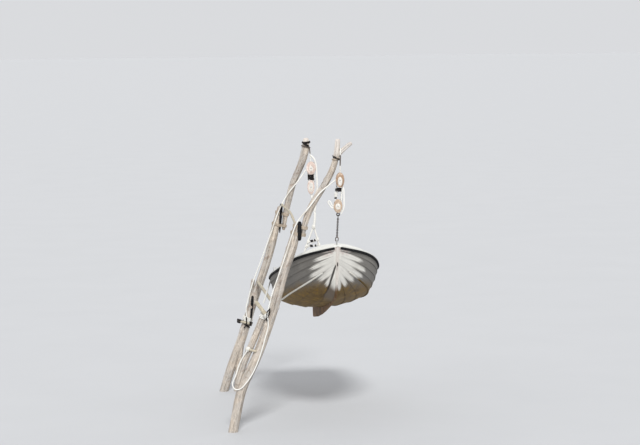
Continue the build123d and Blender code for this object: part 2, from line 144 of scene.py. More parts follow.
def natural_spline(knots, values, at):
    """Cubic through the values with no bend at its ends: solves for the second derivatives."""
    h = np.diff(knots)
    n = len(knots)
    a = np.zeros((n, n))
    b = np.zeros((n,) + values.shape[1:])
    a[0, 0] = a[-1, -1] = 1
    i = np.arange(1, n - 1)
    a[i, i - 1], a[i, i], a[i, i + 1] = h[:-1], 2 * (h[:-1] + h[1:]), h[1:]
    shape = (-1,) + (1,) * (values.ndim - 1)
    b[1:-1] = 6 * np.diff(np.diff(values, axis=0) / h.reshape(shape), axis=0)
    m = np.linalg.solve(a, b.reshape(n, -1)).reshape(values.shape)
    k = np.clip(np.searchsorted(knots, at) - 1, 0, n - 2)
    hk, u = h[k].reshape(shape), (at - knots[k]).reshape(shape)
    w = hk - u
    bend = (m[k] * w**3 + m[k + 1] * u**3) / (6 * hk)
    low, high = (values[k + j] / hk - m[k + j] * hk / 6 for j in (0, 1))
    return bend + low * w + high * u


def chord_knots(points):
    return np.concatenate([[0], np.cumsum(np.linalg.norm(np.diff(points, axis=0), axis=1))])


def smooth_path(points, step):
    """Evenly spaced points on the natural spline through points, about step apart."""
    points = np.asarray(points, float)
    knots = chord_knots(points[:, :3])
    return natural_spline(knots, points, np.linspace(0, knots[-1], max(int(knots[-1] / step), 8)))


def new_piece(name, verts, faces, smooth=40, uv=None, grain=None, closed=True):
    """A mesh object at the origin, sharp where faces meet at over smooth degrees. A closed one
    gets its faces turned outwards. uv and grain have one row for each vertex."""
    mesh = bpy.data.meshes.new(name)
    mesh.from_pydata(np.asarray(verts, float).tolist(), [], [list(map(int, f)) for f in faces])
    mesh.validate()
    if closed:
        shell = bmesh.new()
        shell.from_mesh(mesh)
        bmesh.ops.recalc_face_normals(shell, faces=shell.faces)
        shell.to_mesh(mesh)
        shell.free()
    if uv is not None:
        corner = np.zeros(len(mesh.loops), int)
        mesh.loops.foreach_get("vertex_index", corner)
        layer = mesh.uv_layers.new(name="UVMap")
        layer.data.foreach_set("uv", np.asarray(uv, float)[corner].ravel())
    if grain is not None:
        attribute = mesh.attributes.new("grain", "FLOAT_VECTOR", "POINT")
        attribute.data.foreach_set("vector", np.asarray(grain, float).ravel())
    mesh.shade_smooth()
    mesh.set_sharp_from_angle(angle=math.radians(smooth))
    obj = bpy.data.objects.new(name, mesh)
    bpy.context.scene.collection.objects.link(obj)
    return obj


def grid_faces(rows, cols, wrap=False, start=0, flip=False):
    """Quads of a rows by cols grid; wrap joins the last column to the first."""
    r, c = np.meshgrid(np.arange(rows - 1), np.arange(cols if wrap else cols - 1), indexing="ij")
    n = (c + 1) % cols
    corners = [r * cols + c, r * cols + n, (r + 1) * cols + n, (r + 1) * cols + c]
    q = np.stack(corners, -1).reshape(-1, 4) + start
    return q[:, ::-1] if flip else q


def capped_faces(rows, cols, start=0, flip=True):
    """Faces of a tube of rows rings with cols points each, and of its two ends."""
    first, last = np.arange(cols) + start, np.arange(cols) + start + (rows - 1) * cols
    ends = [first, last[::-1]] if flip else [first[::-1], last]
    return [*grid_faces(rows, cols, wrap=True, start=start, flip=flip), *ends]


def tube(path, ring, across=ROW):
    """Carries ring(s) - rows of (side, up) offsets - along path. across steers the frame: side is
    the part of across that is square to the path, up completes it. Returns verts, faces, arc
    length."""
    path, across = np.asarray(path, float), np.asarray(across, float)
    s = chord_knots(path)
    t = unit(np.gradient(path, axis=0))
    side = unit(across - (t @ across)[:, None] * t)
    up = np.cross(t, side)
    offsets = ring(s)                                            # (n, k, 2)
    verts = path[:, None] + offsets[..., :1] * side[:, None] + offsets[..., 1:] * up[:, None]
    return verts.reshape(-1, 3), capped_faces(*verts.shape[:2]), s


def rounded(s, reach, depth):
    """Share of the full radius at arc length s: within reach of both ends it falls along a
    quarter circle, to the root of 1 - depth."""
    end = np.clip(np.minimum(s, s[-1] - s) / reach, 0, 1)
    return np.sqrt(1 - depth * (1 - end) ** 2)[:, None]


def laid(name, path, radius, across=ROW, lay=0.055):
    """Three-strand rope along a path: the ring's radius falls by a fifth in three grooves that
    turn once per lay, and both ends close in a low point."""
    path = np.asarray(path, float)
    along, phi = chord_knots(path)[:, None], circle(ROPE_RING)
    turn = phi - 2 * math.pi * along / lay
    grooved = 0.80 + 0.22 * np.abs(np.cos(1.5 * turn))

    def ring(s):
        return polar(radius * grooved * rounded(s, radius, 0.8), phi)

    verts, faces, _ = tube(path, ring, across)
    grain = rows_of(along, np.cos(3 * turn), np.sin(3 * turn))
    return new_piece(name, verts, faces, 70, grain=grain.reshape(-1, 3))


def winding(a, b, axis, radius, rope, turns, pitch, phase=0.0):
    """Path of a rope wound round two poles (or one, where a is b): a slot outline, two straights
    and two half circles, that climbs by pitch a turn; radius is one number, or one at a and one at
    b, and the ends tuck inwards."""
    radius, other = radius if isinstance(radius, tuple) else (radius, radius)
    a, b, axis = (np.asarray(v, float) for v in (a, b, axis))
    axis = unit(axis)
    span = (b - a) - axis * ((b - a) @ axis)
    gap = np.linalg.norm(span)
    along = span / gap if gap > 1e-6 else unit(np.cross(axis, ROW))
    across = np.cross(axis, along)
    arc = math.pi * radius
    once = 2 * (gap + arc)
    t = np.linspace(0, turns, int(turns * once / (rope * 0.8)))
    u = ((t + phase) % 1) * once
    parts = [u < gap, u < gap + arc, u < 2 * gap + arc]
    angle = np.select(parts, [0 * u, (u - gap) / radius, math.pi + 0 * u],
                      (u - 2 * gap - arc) / radius + math.pi)
    base = np.select(parts, [u, gap + 0 * u, 2 * gap + arc - u], 0 * u)
    tuck = rope * 1.3 * np.clip(1 - np.minimum(t, turns - t) / 0.15, 0, 1) ** 2
    wander = 0.10 * rope * np.sin(5.3 * t + 1)
    reach = radius + (other - radius) * base / max(gap, 1e-6) + wander - tuck
    rise = (t - turns / 2) * pitch + 0.12 * rope * np.sin(7.1 * t)
    out = np.sin(angle)[:, None] * along - np.cos(angle)[:, None] * across
    return a + along * base[:, None] + reach[:, None] * out + axis * rise[:, None]


def pole_line(y, rows, step):
    """Points up a pole, about step apart, as x, y, z, radius."""
    x, z, r = np.array(rows, float).T
    return smooth_path(rows_of(x, y, z, r), step)


def pole_at(node, z):
    """Middle, radius and direction of a pole at height z."""
    y, rows = POLES[node]
    line = pole_line(y, rows, 0.01)
    x, r = (np.interp(z, line[:, 2], line[:, k]) for k in (0, 3))
    above, below = (np.interp(z + d, line[:, 2], line[:, 0]) for d in (.02, -.02))
    return np.array([x, y, z]), r, np.array([(above - below) / .04, 0, 1.0])


def joined(name, parts, smooth=30):
    """One piece from several closed shells of (verts, faces)."""
    starts = np.cumsum([0] + [len(v) for v, _ in parts])
    faces = [np.asarray(f) + o for (_, group), o in zip(parts, starts) for f in group]
    return new_piece(name, np.concatenate([v for v, _ in parts]), faces, smooth)


def domed_oval(centre, a, b, height, facing, foot, power=2.6):
    """Low dome on an oval: at share r of the way out it stands height (1 - r^power)^0.6 above its
    foot, and its rim goes down by foot into what carries it."""
    turn = circle(DOME_RING)
    r = np.sin(np.linspace(0, math.pi / 2, 14))[1:]
    h = np.append(height * (1 - r**power) ** 0.6, -foot)[:, None]
    r = np.append(r, 1.0)[:, None]
    rings = rows_of(r * a * np.cos(turn), facing * h, r * b * np.sin(turn))
    verts = np.concatenate([rings.reshape(-1, 3), [[0, facing * height, 0]]]) + centre
    k, c = DOME_RING, np.arange(DOME_RING)
    tip = np.stack([c, (c + 1) % k, 0 * c + len(verts) - 1], 1)
    return verts, [*grid_faces(len(r), k, wrap=True), *tip, (c + (len(r) - 1) * k)[::-1]]


def chain(name, start, end, shackle, links, wire, gap):
    """Links down a line, each turned a quarter from the last: two half circles joined by
    straights, carried round by the wire's own circle. The first and last are shackles of length,
    wire and gap."""
    total = np.linalg.norm(end - start)
    down = (end - start) / total
    link = ((total - 2 * shackle[0]) / links, wire, gap)
    lengths, wires, gaps = np.array([shackle] + [link] * links + [shackle]).T
    middle = np.cumsum(lengths) - lengths / 2
    first = unit(np.cross(down, (1, 0, 0)))
    side = np.where((np.arange(links + 2) % 2 == 0)[:, None], first, np.cross(down, first))
    half = np.linspace(-math.pi / 2, math.pi / 2, BEND)
    angle = np.concatenate([half, half + math.pi])
    base = np.repeat([1.0, -1.0], BEND) * np.maximum(lengths / 2 - gaps, 0)[:, None]
    out = np.cos(angle)[None, :, None] * down + np.sin(angle)[None, :, None] * side[:, None]
    line = (start + down * middle[:, None, None] + base[..., None] * down
            + out * (gaps + wires)[:, None, None])
    turn = circle(WIRE_RING)
    flat = np.cross(down, side)[:, None, None]
    spokes = np.cos(turn)[:, None] * out[:, :, None] + np.sin(turn)[:, None] * flat
    verts = line[:, :, None] + wires[:, None, None, None] * spokes
    rows, cols = len(angle), len(turn)
    one = grid_faces(rows + 1, cols, wrap=True) % (rows * cols)
    return joined(name, [(v.reshape(-1, 3), one) for v in verts], 60)


def wedge_bar(name, low, high, thick, deep, taper):
    """Rounded bar between two points: a superellipse ring that thins towards both ends, and by
    taper from the high end to the low one."""
    oval = superellipse(36, deep, thick, 0.6)

    def ring(s):
        u = s / s[-1]
        share = (0.25 + 0.75 * (4 * u * (1 - u)) ** 0.35) * (1 - taper * (1 - u))
        return oval * share[:, None, None]

    verts, faces, _ = tube(np.linspace(low, high, 40), ring)
    return new_piece(name, verts, faces, 45)


def crooked_stick(name, points, radius):
    """A branch: a circle with slow waves, carried along a spline and rounded off at both ends."""
    turn = circle(STICK_RING)

    def ring(s):
        waves = 1 + 0.07 * np.sin(11 * s) + 0.05 * np.sin(29 * s + 1)
        r = (radius * waves)[:, None] * rounded(s, radius, 0.6)
        return polar(r * (1 + 0.05 * np.sin(3 * turn + 14 * s[:, None])), turn)

    verts, faces, _ = tube(smooth_path(points, 0.010), ring)
    return new_piece(name, verts, faces, 50)


def pole_piece(name, rows, y, seed):
    """A weathered natural pole: a circle along a spline, with slow waves round it, a few knots
    that stand out as soft bells, and rounded ends."""
    rng = np.random.default_rng(seed)
    line = pole_line(y, rows, 0.016)
    phi = circle(POLE_RING)
    waves = [(rng.integers(2, 6), rng.uniform(-5, 5), rng.uniform(0, 6.3), rng.uniform(.008, .022))
             for _ in range(7)]
    total = chord_knots(line[:, :3])[-1]
    knots = [(rng.uniform(.08, .95) * total, rng.uniform(0, 6.3), rng.uniform(.10, .26),
              rng.uniform(.016, .034)) for _ in range(max(2, int(total * 2.6)))]

    def ring(s):
        s, thick, end = s[:, None], line[:, 3:4], rounded(s, 0.022, 0.55)
        r = 1 + sum(w * np.sin(m * phi + q * s + p) for m, q, p, w in waves)
        for at, angle, high, wide in knots:
            gap = (phi - angle + math.pi) % (2 * math.pi) - math.pi
            d2 = ((s - at) / wide) ** 2 + (gap * thick / wide) ** 2
            r = r + high * np.exp(-d2 * 1.4) - 0.35 * high * np.exp(-d2 * 9)
        return polar(r * thick * end, phi)

    verts, faces, s = tube(line[:, :3], ring)
    grain = rows_of(s[:, None], np.cos(phi), np.sin(phi))
    return new_piece(name, verts, faces, 50, grain=grain.reshape(-1, 3))


# ---- the boat's own frame
def turned(v):
    """Boat axes to row axes: roll, pitch, then yaw, with the bow towards -Y."""
    def spun(a, b, angle):
        return a * math.cos(angle) - b * math.sin(angle), a * math.sin(angle) + b * math.cos(angle)

    x, y, z = np.moveaxis(v, -1, 0)
    y, z = spun(y, z, ROLL)
    x, z = spun(x, z, PITCH)
    return np.stack([*spun(y, -x, YAW), z], -1)


def in_row(p):
    return BOW + turned(np.asarray(p, float) - np.array([LENGTH, 0, STEM_HEIGHT]))


def girth(st):
    """Strake edges of one side at a station, keel to sheer, as (y, z): three strakes to the chine
    and four above it, on a line with a slight bulge."""
    _, kz, cw, cz, _, sw, sz = st
    half = BEAM / 2
    keel, chine, sheer = (np.array(p) for p in (
        (KEEL_WIDTH / 2, kz), (cw * half, cz), (sw * half, sz)))
    pts = []
    for a, b, n, bulge in ((keel, chine, 3, 0.05), (chine, sheer, 4, 0.07)):
        d = b - a
        for u in np.arange(n) / n:
            pts.append(a + d * u + np.array([d[1], -d[0]]) * (bulge * 4 * u * (1 - u)))
    return np.array(pts + [sheer])


def outward(a, b):
    d = unit(b - a)
    return np.array([d[1], -d[0]])


def placed(st, side, shift=0.0):
    """The (y, z) rows of a section put on the station's plane."""
    kx, kz, _, _, sx, _, sz = st
    x = LENGTH * (kx + (sx - kx) * (side[:, 1] - kz) / (sz - kz)) + shift
    return np.column_stack([x, side])


def planked(st, share):
    """Outer skin of one side: each strake but the first starts a lap outside the one below it."""
    e = girth(st)
    side = [e[0]]
    for i in range(len(e) - 1):
        if i:
            side.append(e[i] + LAP * share * outward(e[i], e[i + 1]))
        side.append(e[i + 1])
    return placed(st, np.array(side))


def lining(st, shift):
    """Inner skin of one side, a plank's thickness inside the strake edges."""
    e = girth(st)
    side, last = [], len(e) - 1
    for i, p in enumerate(e):
        below = outward(e[max(i - 1, 0)], e[max(i, 1)])
        above = outward(e[min(i, last - 1)], e[min(i + 1, last)])
        y, z = p - WALL * (below + above) / 2
        side.append((max(y, 0.003), e[-1][1] if i == last else z))
    return placed(st, np.array(side), shift)


OUTER_ROWS = np.array([planked(s, k) for s, k in zip(STATIONS, LAP_SHARE)])
INNER_ROWS = np.array([lining(s, d) for s, d in zip(STATIONS, (TRANSOM, 0, 0, 0, 0, -4 * WALL))])
KNOTS = chord_knots(OUTER_ROWS.reshape(len(STATIONS), -1) / math.sqrt(OUTER_ROWS.shape[1]))
SHEER_ROWS = np.array([(LENGTH * s[4], s[5] * BEAM / 2, s[6]) for s in STATIONS])
CHINE_ROWS = np.array([(LENGTH * (s[0] + (s[4] - s[0]) * (s[3] - s[1]) / (s[6] - s[1])),
                        s[2] * BEAM / 2, s[3]) for s in STATIONS])
DECK_FROM = KNOTS[3] / KNOTS[-1]


def lofted(rows, start=0.0, end=1.0, n=FINE):
    """Smooth lengthwise curves through the same point of every station."""
    at = KNOTS[-1] * np.linspace(start, end, n)
    return natural_spline(KNOTS, rows, at), at


def mirrored(p):
    return p * np.array([1, -1, 1])


def both_sides(p):
    """Rings of a port side's points with their mirror, from sheer to sheer."""
    return np.concatenate([mirrored(p)[:, ::-1], p], 1)


def planking():
    """Outer skin, inner skin, sheer edges and both ends as one closed shell. UV: metres from the
    stem, and strakes from the keel, negative to starboard, with 20 added on the inner skin."""
    port, at = lofted(OUTER_ROWS)
    outer, inner = both_sides(port), both_sides(lofted(INNER_ROWS)[0])
    o, i = outer.shape[1], inner.shape[1]
    skin = FINE * o                                              # the inner skin's first vertex
    a, b = np.arange(FINE - 1) * o, np.arange(FINE - 1) * i + skin
    faces = [*grid_faces(FINE, o), *grid_faces(FINE, i, start=skin, flip=True)]
    faces += [*np.stack([a, a + o, b + i, b], 1)]
    faces += [*np.stack([a + o - 1, b + i - 1, b + 2 * i - 1, a + 2 * o - 1], 1)]
    bow, lining_bow = (FINE - 1) * o, skin + (FINE - 1) * i
    faces += [np.arange(o)[::-1], skin + np.arange(i),
              bow + np.arange(o), (lining_bow + np.arange(i))[::-1]]
    faces += [[0, skin, skin + i - 1, o - 1], [bow + o - 1, lining_bow + i - 1, lining_bow, bow]]
    back = (KNOTS[-1] - at)[:, None]
    strakes = np.concatenate([[0.0], np.repeat(np.arange(1, 7), 2), [7.0]]), np.arange(8) + 20.0
    uv = [rows_of(back, np.concatenate([-v[::-1], v])).reshape(-1, 2) for v in strakes]
    verts = np.concatenate([outer.reshape(-1, 3), inner.reshape(-1, 3)])
    return new_piece("skiff_planking", in_row(verts), faces, 18, uv=np.concatenate(uv))


def along_edge(name, rows, profile, start=0.0, end=1.0):
    """A moulding: profile rows of (outwards, up) carried along one edge of the hull, and its
    mirror."""
    line, _ = lofted(rows, start, end)
    profile = np.asarray(profile, float)
    t = unit(np.gradient(line, axis=0))
    side = unit(rows_of(-t[:, 1], t[:, 0], 0))
    side *= np.sign(side[:, 1:2] + 1e-9)
    p = line[:, None] + profile[:, :1] * side[:, None] + profile[:, 1:] * np.array(UP)
    n, k = p.shape[:2]
    faces = capped_faces(n, k, flip=False) + capped_faces(n, k, start=n * k)
    verts = np.concatenate([p.reshape(-1, 3), mirrored(p).reshape(-1, 3)])
    return new_piece(name, in_row(verts), faces, 35)


def foredeck():
    """Domed deck over the bow: a thin arch, top = edge + rise (1 - s squared) across the
    half-breadth s, with the rise read along the same curve as the sheer."""
    n = DECK_ROWS
    line, at = lofted(SHEER_ROWS, DECK_FROM, 1.0, n)
    rise = natural_spline(KNOTS[3:], DECK_CROWN, at)[:, None]
    x, w, z = line[:, :1], line[:, 1:2] + RAIL_DEPTH - 0.004, line[:, 2:]
    s = np.linspace(-1, 1, DECK_COLUMNS)
    crown = rise * (1 - s**2)
    soft = 0.007 * np.clip((np.abs(s) - 0.97) / 0.03, 0, 1) ** 2
    upper = rows_of(x, w * s, z + DECK_HEIGHT + crown - soft)
    lower = rows_of(x, np.maximum(w - 0.034, 0.004) * s, z + crown)
    foot = rows_of(x, w, z)
    ring = np.concatenate([upper, foot, lower[:, ::-1], mirrored(foot)], 1)
    k, half = ring.shape[1], len(s)
    faces = [*grid_faces(n, k, wrap=True, flip=True)]
    # Both ends: quads between the top and the underside, and corners down to the two feet.
    end = [[i, i + 1, 2 * half - 1 - i, 2 * half - i] for i in range(1, half - 1)]
    end += [[half - 1, half, half + 1], [0, 1, 2 * half - 1, 2 * half], [2 * half, 2 * half + 1, 0]]
    faces += end + [[(n - 1) * k + i for i in q[::-1]] for q in end]
    return new_piece("skiff_foredeck", in_row(ring.reshape(-1, 3)), faces, 35)


def transom_capping():
    """Rounded board along the top of the transom: one section carried across the boat."""
    w = SHEER_ROWS[0, 1] - CAP_WIDTH - 0.0005
    oval = superellipse(40, 0.028, CAP_HEIGHT / 2, 0.35)[:, ::-1]
    path = rows_of(-0.038, np.linspace(-w, w, 13), SHEER_ROWS[0, 2] + CAP_HEIGHT / 2)
    verts, faces, _ = tube(path, lambda s: np.broadcast_to(oval, (len(s),) + oval.shape), UP)
    return new_piece("transom_capping", in_row(verts), faces, 35)


def keel_piece():
    """Keel batten, deadwood and stem band: one side outline given a width, narrowed along its
    lower edge."""
    kx, kz = LENGTH * STATIONS[:, 0], STATIONS[:, 1]
    sx, _, sz = SHEER_ROWS[-1]
    skeg, keel = kz[0] - SKEG_DEPTH, kz - KEEL_DEPTH
    low = np.array([
        (0.02, skeg), (0.62, skeg - .018), (1.3, skeg - .006), (1.9, keel[2] - .042),
        (2.3, keel[2] - .014), (kx[3], keel[3] + .002), (2.86, kz[3] + .010),
        (kx[4] + .02, keel[4] + .004), (kx[5] + .03, kz[5] - .006), (sx + .016, sz)])
    high = np.array([
        (0.02, kz[0] + .03), (0.62, .112), (1.3, .072), (1.9, kz[2] + .02), (2.3, kz[2] + .02),
        (kx[3], kz[3] + .02), (2.86, kz[3] + .045), (kx[4] - .02, kz[4] + .03),
        (kx[5] - .03, kz[5] + .01), (sx - .03, sz - .03)])
    knots = chord_knots(low)
    at = np.unique(np.concatenate([np.linspace(0, knots[-1], 90), knots]))
    lo, hi = (np.stack([np.interp(at, knots, p[:, k]) for k in (0, 1)], 1) for p in (low, high))
    port = np.stack([rows_of(q[:, 0], KEEL_WIDTH / 2 * share, q[:, 1]) for q, share in (
        (lo, .55), (lo + (hi - lo) * 0.10, 1.0), (hi, 1.0))], 1)
    ring = np.concatenate([port, mirrored(port)[:, ::-1]], 1)
    faces = capped_faces(*ring.shape[:2])
    return new_piece("skiff_keel", in_row(ring.reshape(-1, 3)), faces, 30)


# ---- finishes
def feed(socket, value):
    """Links a socket to another one or to a Value, or sets its constant."""
    value = value.socket if isinstance(value, Value) else value
    if hasattr(value, "is_output"):
        socket.id_data.links.new(value, socket)
    else:
        socket.default_value = value


class Value:
    """A socket that adds Math nodes when it is used in an expression."""

    def __init__(self, socket):
        self.socket, self.nodes = socket, socket.id_data.nodes

    def _math(self, op, *args):
        n = self.nodes.new("ShaderNodeMath")
        n.operation = op
        for socket, a in zip(n.inputs, args):
            feed(socket, a)
        return Value(n.outputs[0])

    def __add__(self, o): return self._math("ADD", self, o)
    def __radd__(self, o): return self._math("ADD", o, self)
    def __sub__(self, o): return self._math("SUBTRACT", self, o)
    def __rsub__(self, o): return self._math("SUBTRACT", o, self)
    def __mul__(self, o): return self._math("MULTIPLY", self, o)
    def at_least(self, o): return self._math("MAXIMUM", self, o)
    def at_most(self, o): return self._math("MINIMUM", self, o)
    def size(self): return self._math("ABSOLUTE", self)
    def whole(self): return self._math("FLOOR", self)
    def part(self): return self._math("FRACT", self)
    def power(self, o): return self._math("POWER", self, o)

    def step(self, low, high):
        """0 below low, 1 above high, smooth between."""
        n = self.nodes.new("ShaderNodeMapRange")
        n.interpolation_type = "SMOOTHSTEP"
        for name, v in (("Value", self), ("From Min", low), ("From Max", high)):
            feed(n.inputs[name], v)
        return Value(n.outputs[0])


def shade(colour, *by):
    """A colour times one number, or times one for each channel."""
    return tuple(c * k for c, k in zip(colour, by if len(by) == 3 else by * 3))


class Finish:
    """One material: its nodes are added by a single method."""

    def __init__(self, name, **fixed):
        self.material = bpy.data.materials.new(name)
        self.material.use_nodes = True
        self.nodes = self.material.node_tree.nodes
        self.shader = self.nodes["Principled BSDF"]
        for key, value in fixed.items():
            self.shader.inputs[key.replace("_", " ")].default_value = value

    def node(self, kind, settings=None, **inputs):
        """Adds a node. An input goes by its name, or as i and its number."""
        n = self.nodes.new(kind)
        for key, value in (settings or {}).items():
            setattr(n, key, value)
        for key, value in inputs.items():
            feed(n.inputs[int(key[1:]) if key[1:].isdigit() else key.replace("_", " ")], value)
        return n

    def place(self):
        return self.node("ShaderNodeTexCoord").outputs["Object"]

    def grain(self):
        return self.node("ShaderNodeAttribute", {"attribute_name": "grain"}).outputs["Vector"]

    def axes(self, vector):
        n = self.node("ShaderNodeSeparateXYZ", Vector=vector)
        return [Value(socket) for socket in n.outputs]

    def uv(self):
        return self.axes(self.node("ShaderNodeTexCoord").outputs["UV"])[:2]

    def scaled(self, vector, *scale):
        return self.node("ShaderNodeMapping", Vector=vector, Scale=scale).outputs[0]

    def dot(self, vector, other):
        n = self.node("ShaderNodeVectorMath", {"operation": "DOT_PRODUCT"}, i0=vector, i1=other)
        return Value(n.outputs["Value"])

    def noise(self, vector, scale, detail=4.0, rough=0.55, warp=0.0):
        n = self.node("ShaderNodeTexNoise", Vector=vector, Scale=scale, Detail=detail,
                      Roughness=rough, Distortion=warp)
        return Value(n.outputs["Fac"])

    def noises(self, *sets):
        """Noise in object coordinates for each set of scale, detail, roughness and warp."""
        place = self.place()
        return [self.noise(place, *numbers) for numbers in sets]

    def mix(self, factor, a, b):
        """Colour a where the factor is 0 and b where it is 1."""
        a, b = (v if hasattr(v, "is_output") else (*v, 1) for v in (a, b))
        return self.node("ShaderNodeMix", {"data_type": "RGBA"}, i0=factor, i6=a, i7=b).outputs[2]

    def paint(self, colour, rough=None, height=None, strength=0.3, distance=0.002):
        """Joins the colour, and where they are given the roughness and bump, to the shader."""
        feed(self.shader.inputs["Base Color"], colour)
        if rough is not None:
            feed(self.shader.inputs["Roughness"], rough)
            bump = self.node("ShaderNodeBump", Strength=strength, Distance=distance, Height=height)
            feed(self.shader.inputs["Normal"], bump.outputs[0])
        return self.material


def boat_axes(f):
    """Object coordinates turned into the boat's own: metres forward of the stem head, to port,
    up."""
    subtract = {"operation": "SUBTRACT"}
    p = f.node("ShaderNodeVectorMath", subtract, i0=f.place(), i1=tuple(BOW)).outputs[0]
    return [f.dot(p, tuple(turned(axis))) for axis in np.eye(3)]


# Where the painted sunlight of the bow's fan ends behind the stem on each strake, keel to sheer,
# in metres along the plank.
SUNLIT_REACH_PORT = (0.34, 0.43, 0.52, 0.66, 0.64, 0.46, 0.20)
SUNLIT_REACH_STARBOARD = (0.30, 0.38, 0.44, 0.54, 0.45, 0.32, 0.17)


def hull_paint(look):
    """Weathered paint with painted light and shade: a fan of painted sunlight at the bow, one
    stroke a strake, that thins to soft tips, grey above the bilge and stained below it, both the
    paint in painted shade, with painted shade along the laps, runs and rubbed spots."""
    f = Finish("hull_paint", Specular_IOR_Level=0.08)
    back, strake = f.uv()
    x, y, z = boat_axes(f)
    broad, middle, fine = f.noises((2.1, 5, 0.6), (9, 5, 0.6), (42, 6, 0.65))
    row = strake.size()
    share, number = row.part(), row.whole()
    port = strake.step(-0.01, 0.01)
    drawn = f.node("ShaderNodeCombineXYZ", X=back * 2.2, Y=strake * 7.0).outputs[0]
    stroke = f.noise(drawn, 1.0, 3)

    # The painted sunlight of the fan: how far it reaches on this strake, its soft tip, and the
    # painted lap shadow between two strokes.
    reach = 0.0
    for i, (p, q) in enumerate(zip(SUNLIT_REACH_PORT, SUNLIT_REACH_STARBOARD)):
        reach = (1 - (number - i).size().at_most(1)) * (port * (p - q) + q) + reach
    tip = reach - ((share - 0.56).size() * 2).power(2.6) * 0.20 - (stroke - 0.5) * 0.26
    sunlit = 1 - (back - tip).step(-0.09, 0.06)
    # Painted lap shadow: grey along the laps between two sunlit strokes, from partway back.
    between = (share - 0.10).step(0.0, 0.20) * (1 - (share - 0.90).step(-0.22, 0.05))
    between = (1 - between) * (back - reach * 0.42).step(-0.05, 0.20)
    # Painted shade: a dark line along each lap.
    lap = 1 - share.step(0.0, 0.08)
    low = 1 - (z + (broad - 0.5) * 0.16).step(-0.60, -0.42)
    dirt = (middle * 0.5 + fine * 0.5).step(0.42, 0.68)

    # Grey topsides over a stained bottom, both the paint in painted shade, the brown with painted
    # warm bounce light.
    mottle = (broad * 0.6 + stroke * 0.4).step(0.35, 0.65)
    grey = f.mix(mottle, look.topsides, shade(look.topsides, 0.78))
    # Painted light: the port topsides lighter, as if lit from that side.
    grey = f.mix((y + broad * 0.2).step(-0.1, 0.6) * 0.35, grey, shade(look.topsides, 1.25))
    # Painted shade: the bottom darker lower down, lighter and more olive near the bilge.
    under = f.mix((z + (broad - 0.5) * 0.1).step(-0.76, -0.54), look.bottom,
                  shade(look.bottom, 1.32, 1.45, 2.4))
    under = f.mix(dirt * 0.7, under, shade(look.bottom, 0.66))
    under = f.mix((middle * 0.7 + stroke * 0.4).step(0.58, 0.72) * 0.7, under, (0.17, 0.075, 0.035))
    base = f.mix(low, grey, under)
    for mask, amount, colour in (
            ((fine * 0.7 + middle * 0.4).step(0.52, 0.80), 0.3, (0.09, 0.065, 0.035)),
            ((middle * 0.6 + fine * 0.4).step(0.51, 0.58) * low, 0.75, (0.26, 0.16, 0.035)),
            ((1 - middle * 0.5 - fine * 0.5).step(0.52, 0.58) * low, 0.7, (0.075, 0.042, 0.018))):
        base = f.mix(mask * amount, base, colour)

    # Painted sunlight: the fan's white, dirtied, with a faint red stain near the rail.
    white = f.mix(stroke.step(0.35, 0.7), look.fan, shade(look.fan, 0.80))
    white = f.mix(dirt * 0.22, white, (0.40, 0.37, 0.32))
    stain = z.step(-0.15, -0.05) * middle.step(0.40, 0.60) * 0.55
    base = f.mix(sunlit, base, f.mix(stain, white, (0.52, 0.36, 0.32)))

    # The keel's side below the garboard's edge, which falls away from the stem, white at the fore
    # end as painted sunlight, and a painted shadow line beside the keel.
    run = (x * -1 - 0.145).at_least(0.0)
    garboard = run.power(0.6).at_most(0.70) * -0.21
    side = (y - garboard).step(-0.004, 0.004) * (1 - y.step(-0.004, 0.004))
    keel = f.mix((x + (broad - 0.5) * 0.1).step(-0.50, -0.36), (0.175, 0.145, 0.118), look.fan)
    base = f.mix(side * x.step(-1.20, -0.60) * 0.9, base, keel)
    # Painted lap shadow: grey between the sunlit strokes.
    base = f.mix(between * sunlit * (1 - side) * 0.85, base, (0.23, 0.215, 0.19))
    # Painted shadow: a dark line beside the keel along the garboard's edge.
    keel_shadow = (1 - (y - garboard).size().step(0.006, 0.016)) * (
        run.step(0.0, 0.02) * (x.step(-0.62, -0.40) * 0.60 + 0.32))
    base = f.mix(keel_shadow * (1 - z.step(-0.26, -0.22)), base, (0.022, 0.018, 0.016))
    # Painted shade along each lap, weaker where the sunlight is painted.
    base = f.mix(lap * (0.38 - sunlit * 0.15), base, (0.055, 0.05, 0.042))

    # The inner skin has its own worn white, darker towards the bottom.
    inner = f.mix((broad * 0.6 + fine * 0.4).step(0.4, 0.7), (0.52, 0.50, 0.46), (0.36, 0.33, 0.28))
    inner = f.mix((1 - (z + middle * 0.1).step(-0.62, -0.45)) * 0.6, inner, (0.26, 0.22, 0.17))
    base = f.mix(row.step(9.0, 10.0), base, inner)
    return f.paint(base, 0.45 + fine * 0.3, fine * 0.6 + middle * 0.4, 0.25, 0.0015)


def white_moulding(look):
    f = Finish("white_moulding", Coat_Weight=0.2, Coat_Roughness=0.25)
    broad, fine = f.noises((3.0, 5), (60, 6, 0.7))
    worn = (broad * 0.6 + fine * 0.5).step(0.45, 0.8) * 0.45
    base = f.mix(worn, look.moulding, shade(look.moulding, 0.78))
    return f.paint(base, 0.35 + fine * 0.2, fine, 0.1, 0.0008)


def speckled(_, name, scale, high, colour, worn, rough, strength, shine=0.5):
    """One colour that turns to another where a fine noise passes a step; rough is the lowest
    roughness and what the noise adds."""
    f = Finish(name, Specular_IOR_Level=shine)
    fine = f.noise(f.place(), scale, 5, 0.7)
    base = f.mix(fine.step(0.45, high), colour, worn)
    return f.paint(base, rough[0] + fine * rough[1], fine, strength, 0.001)


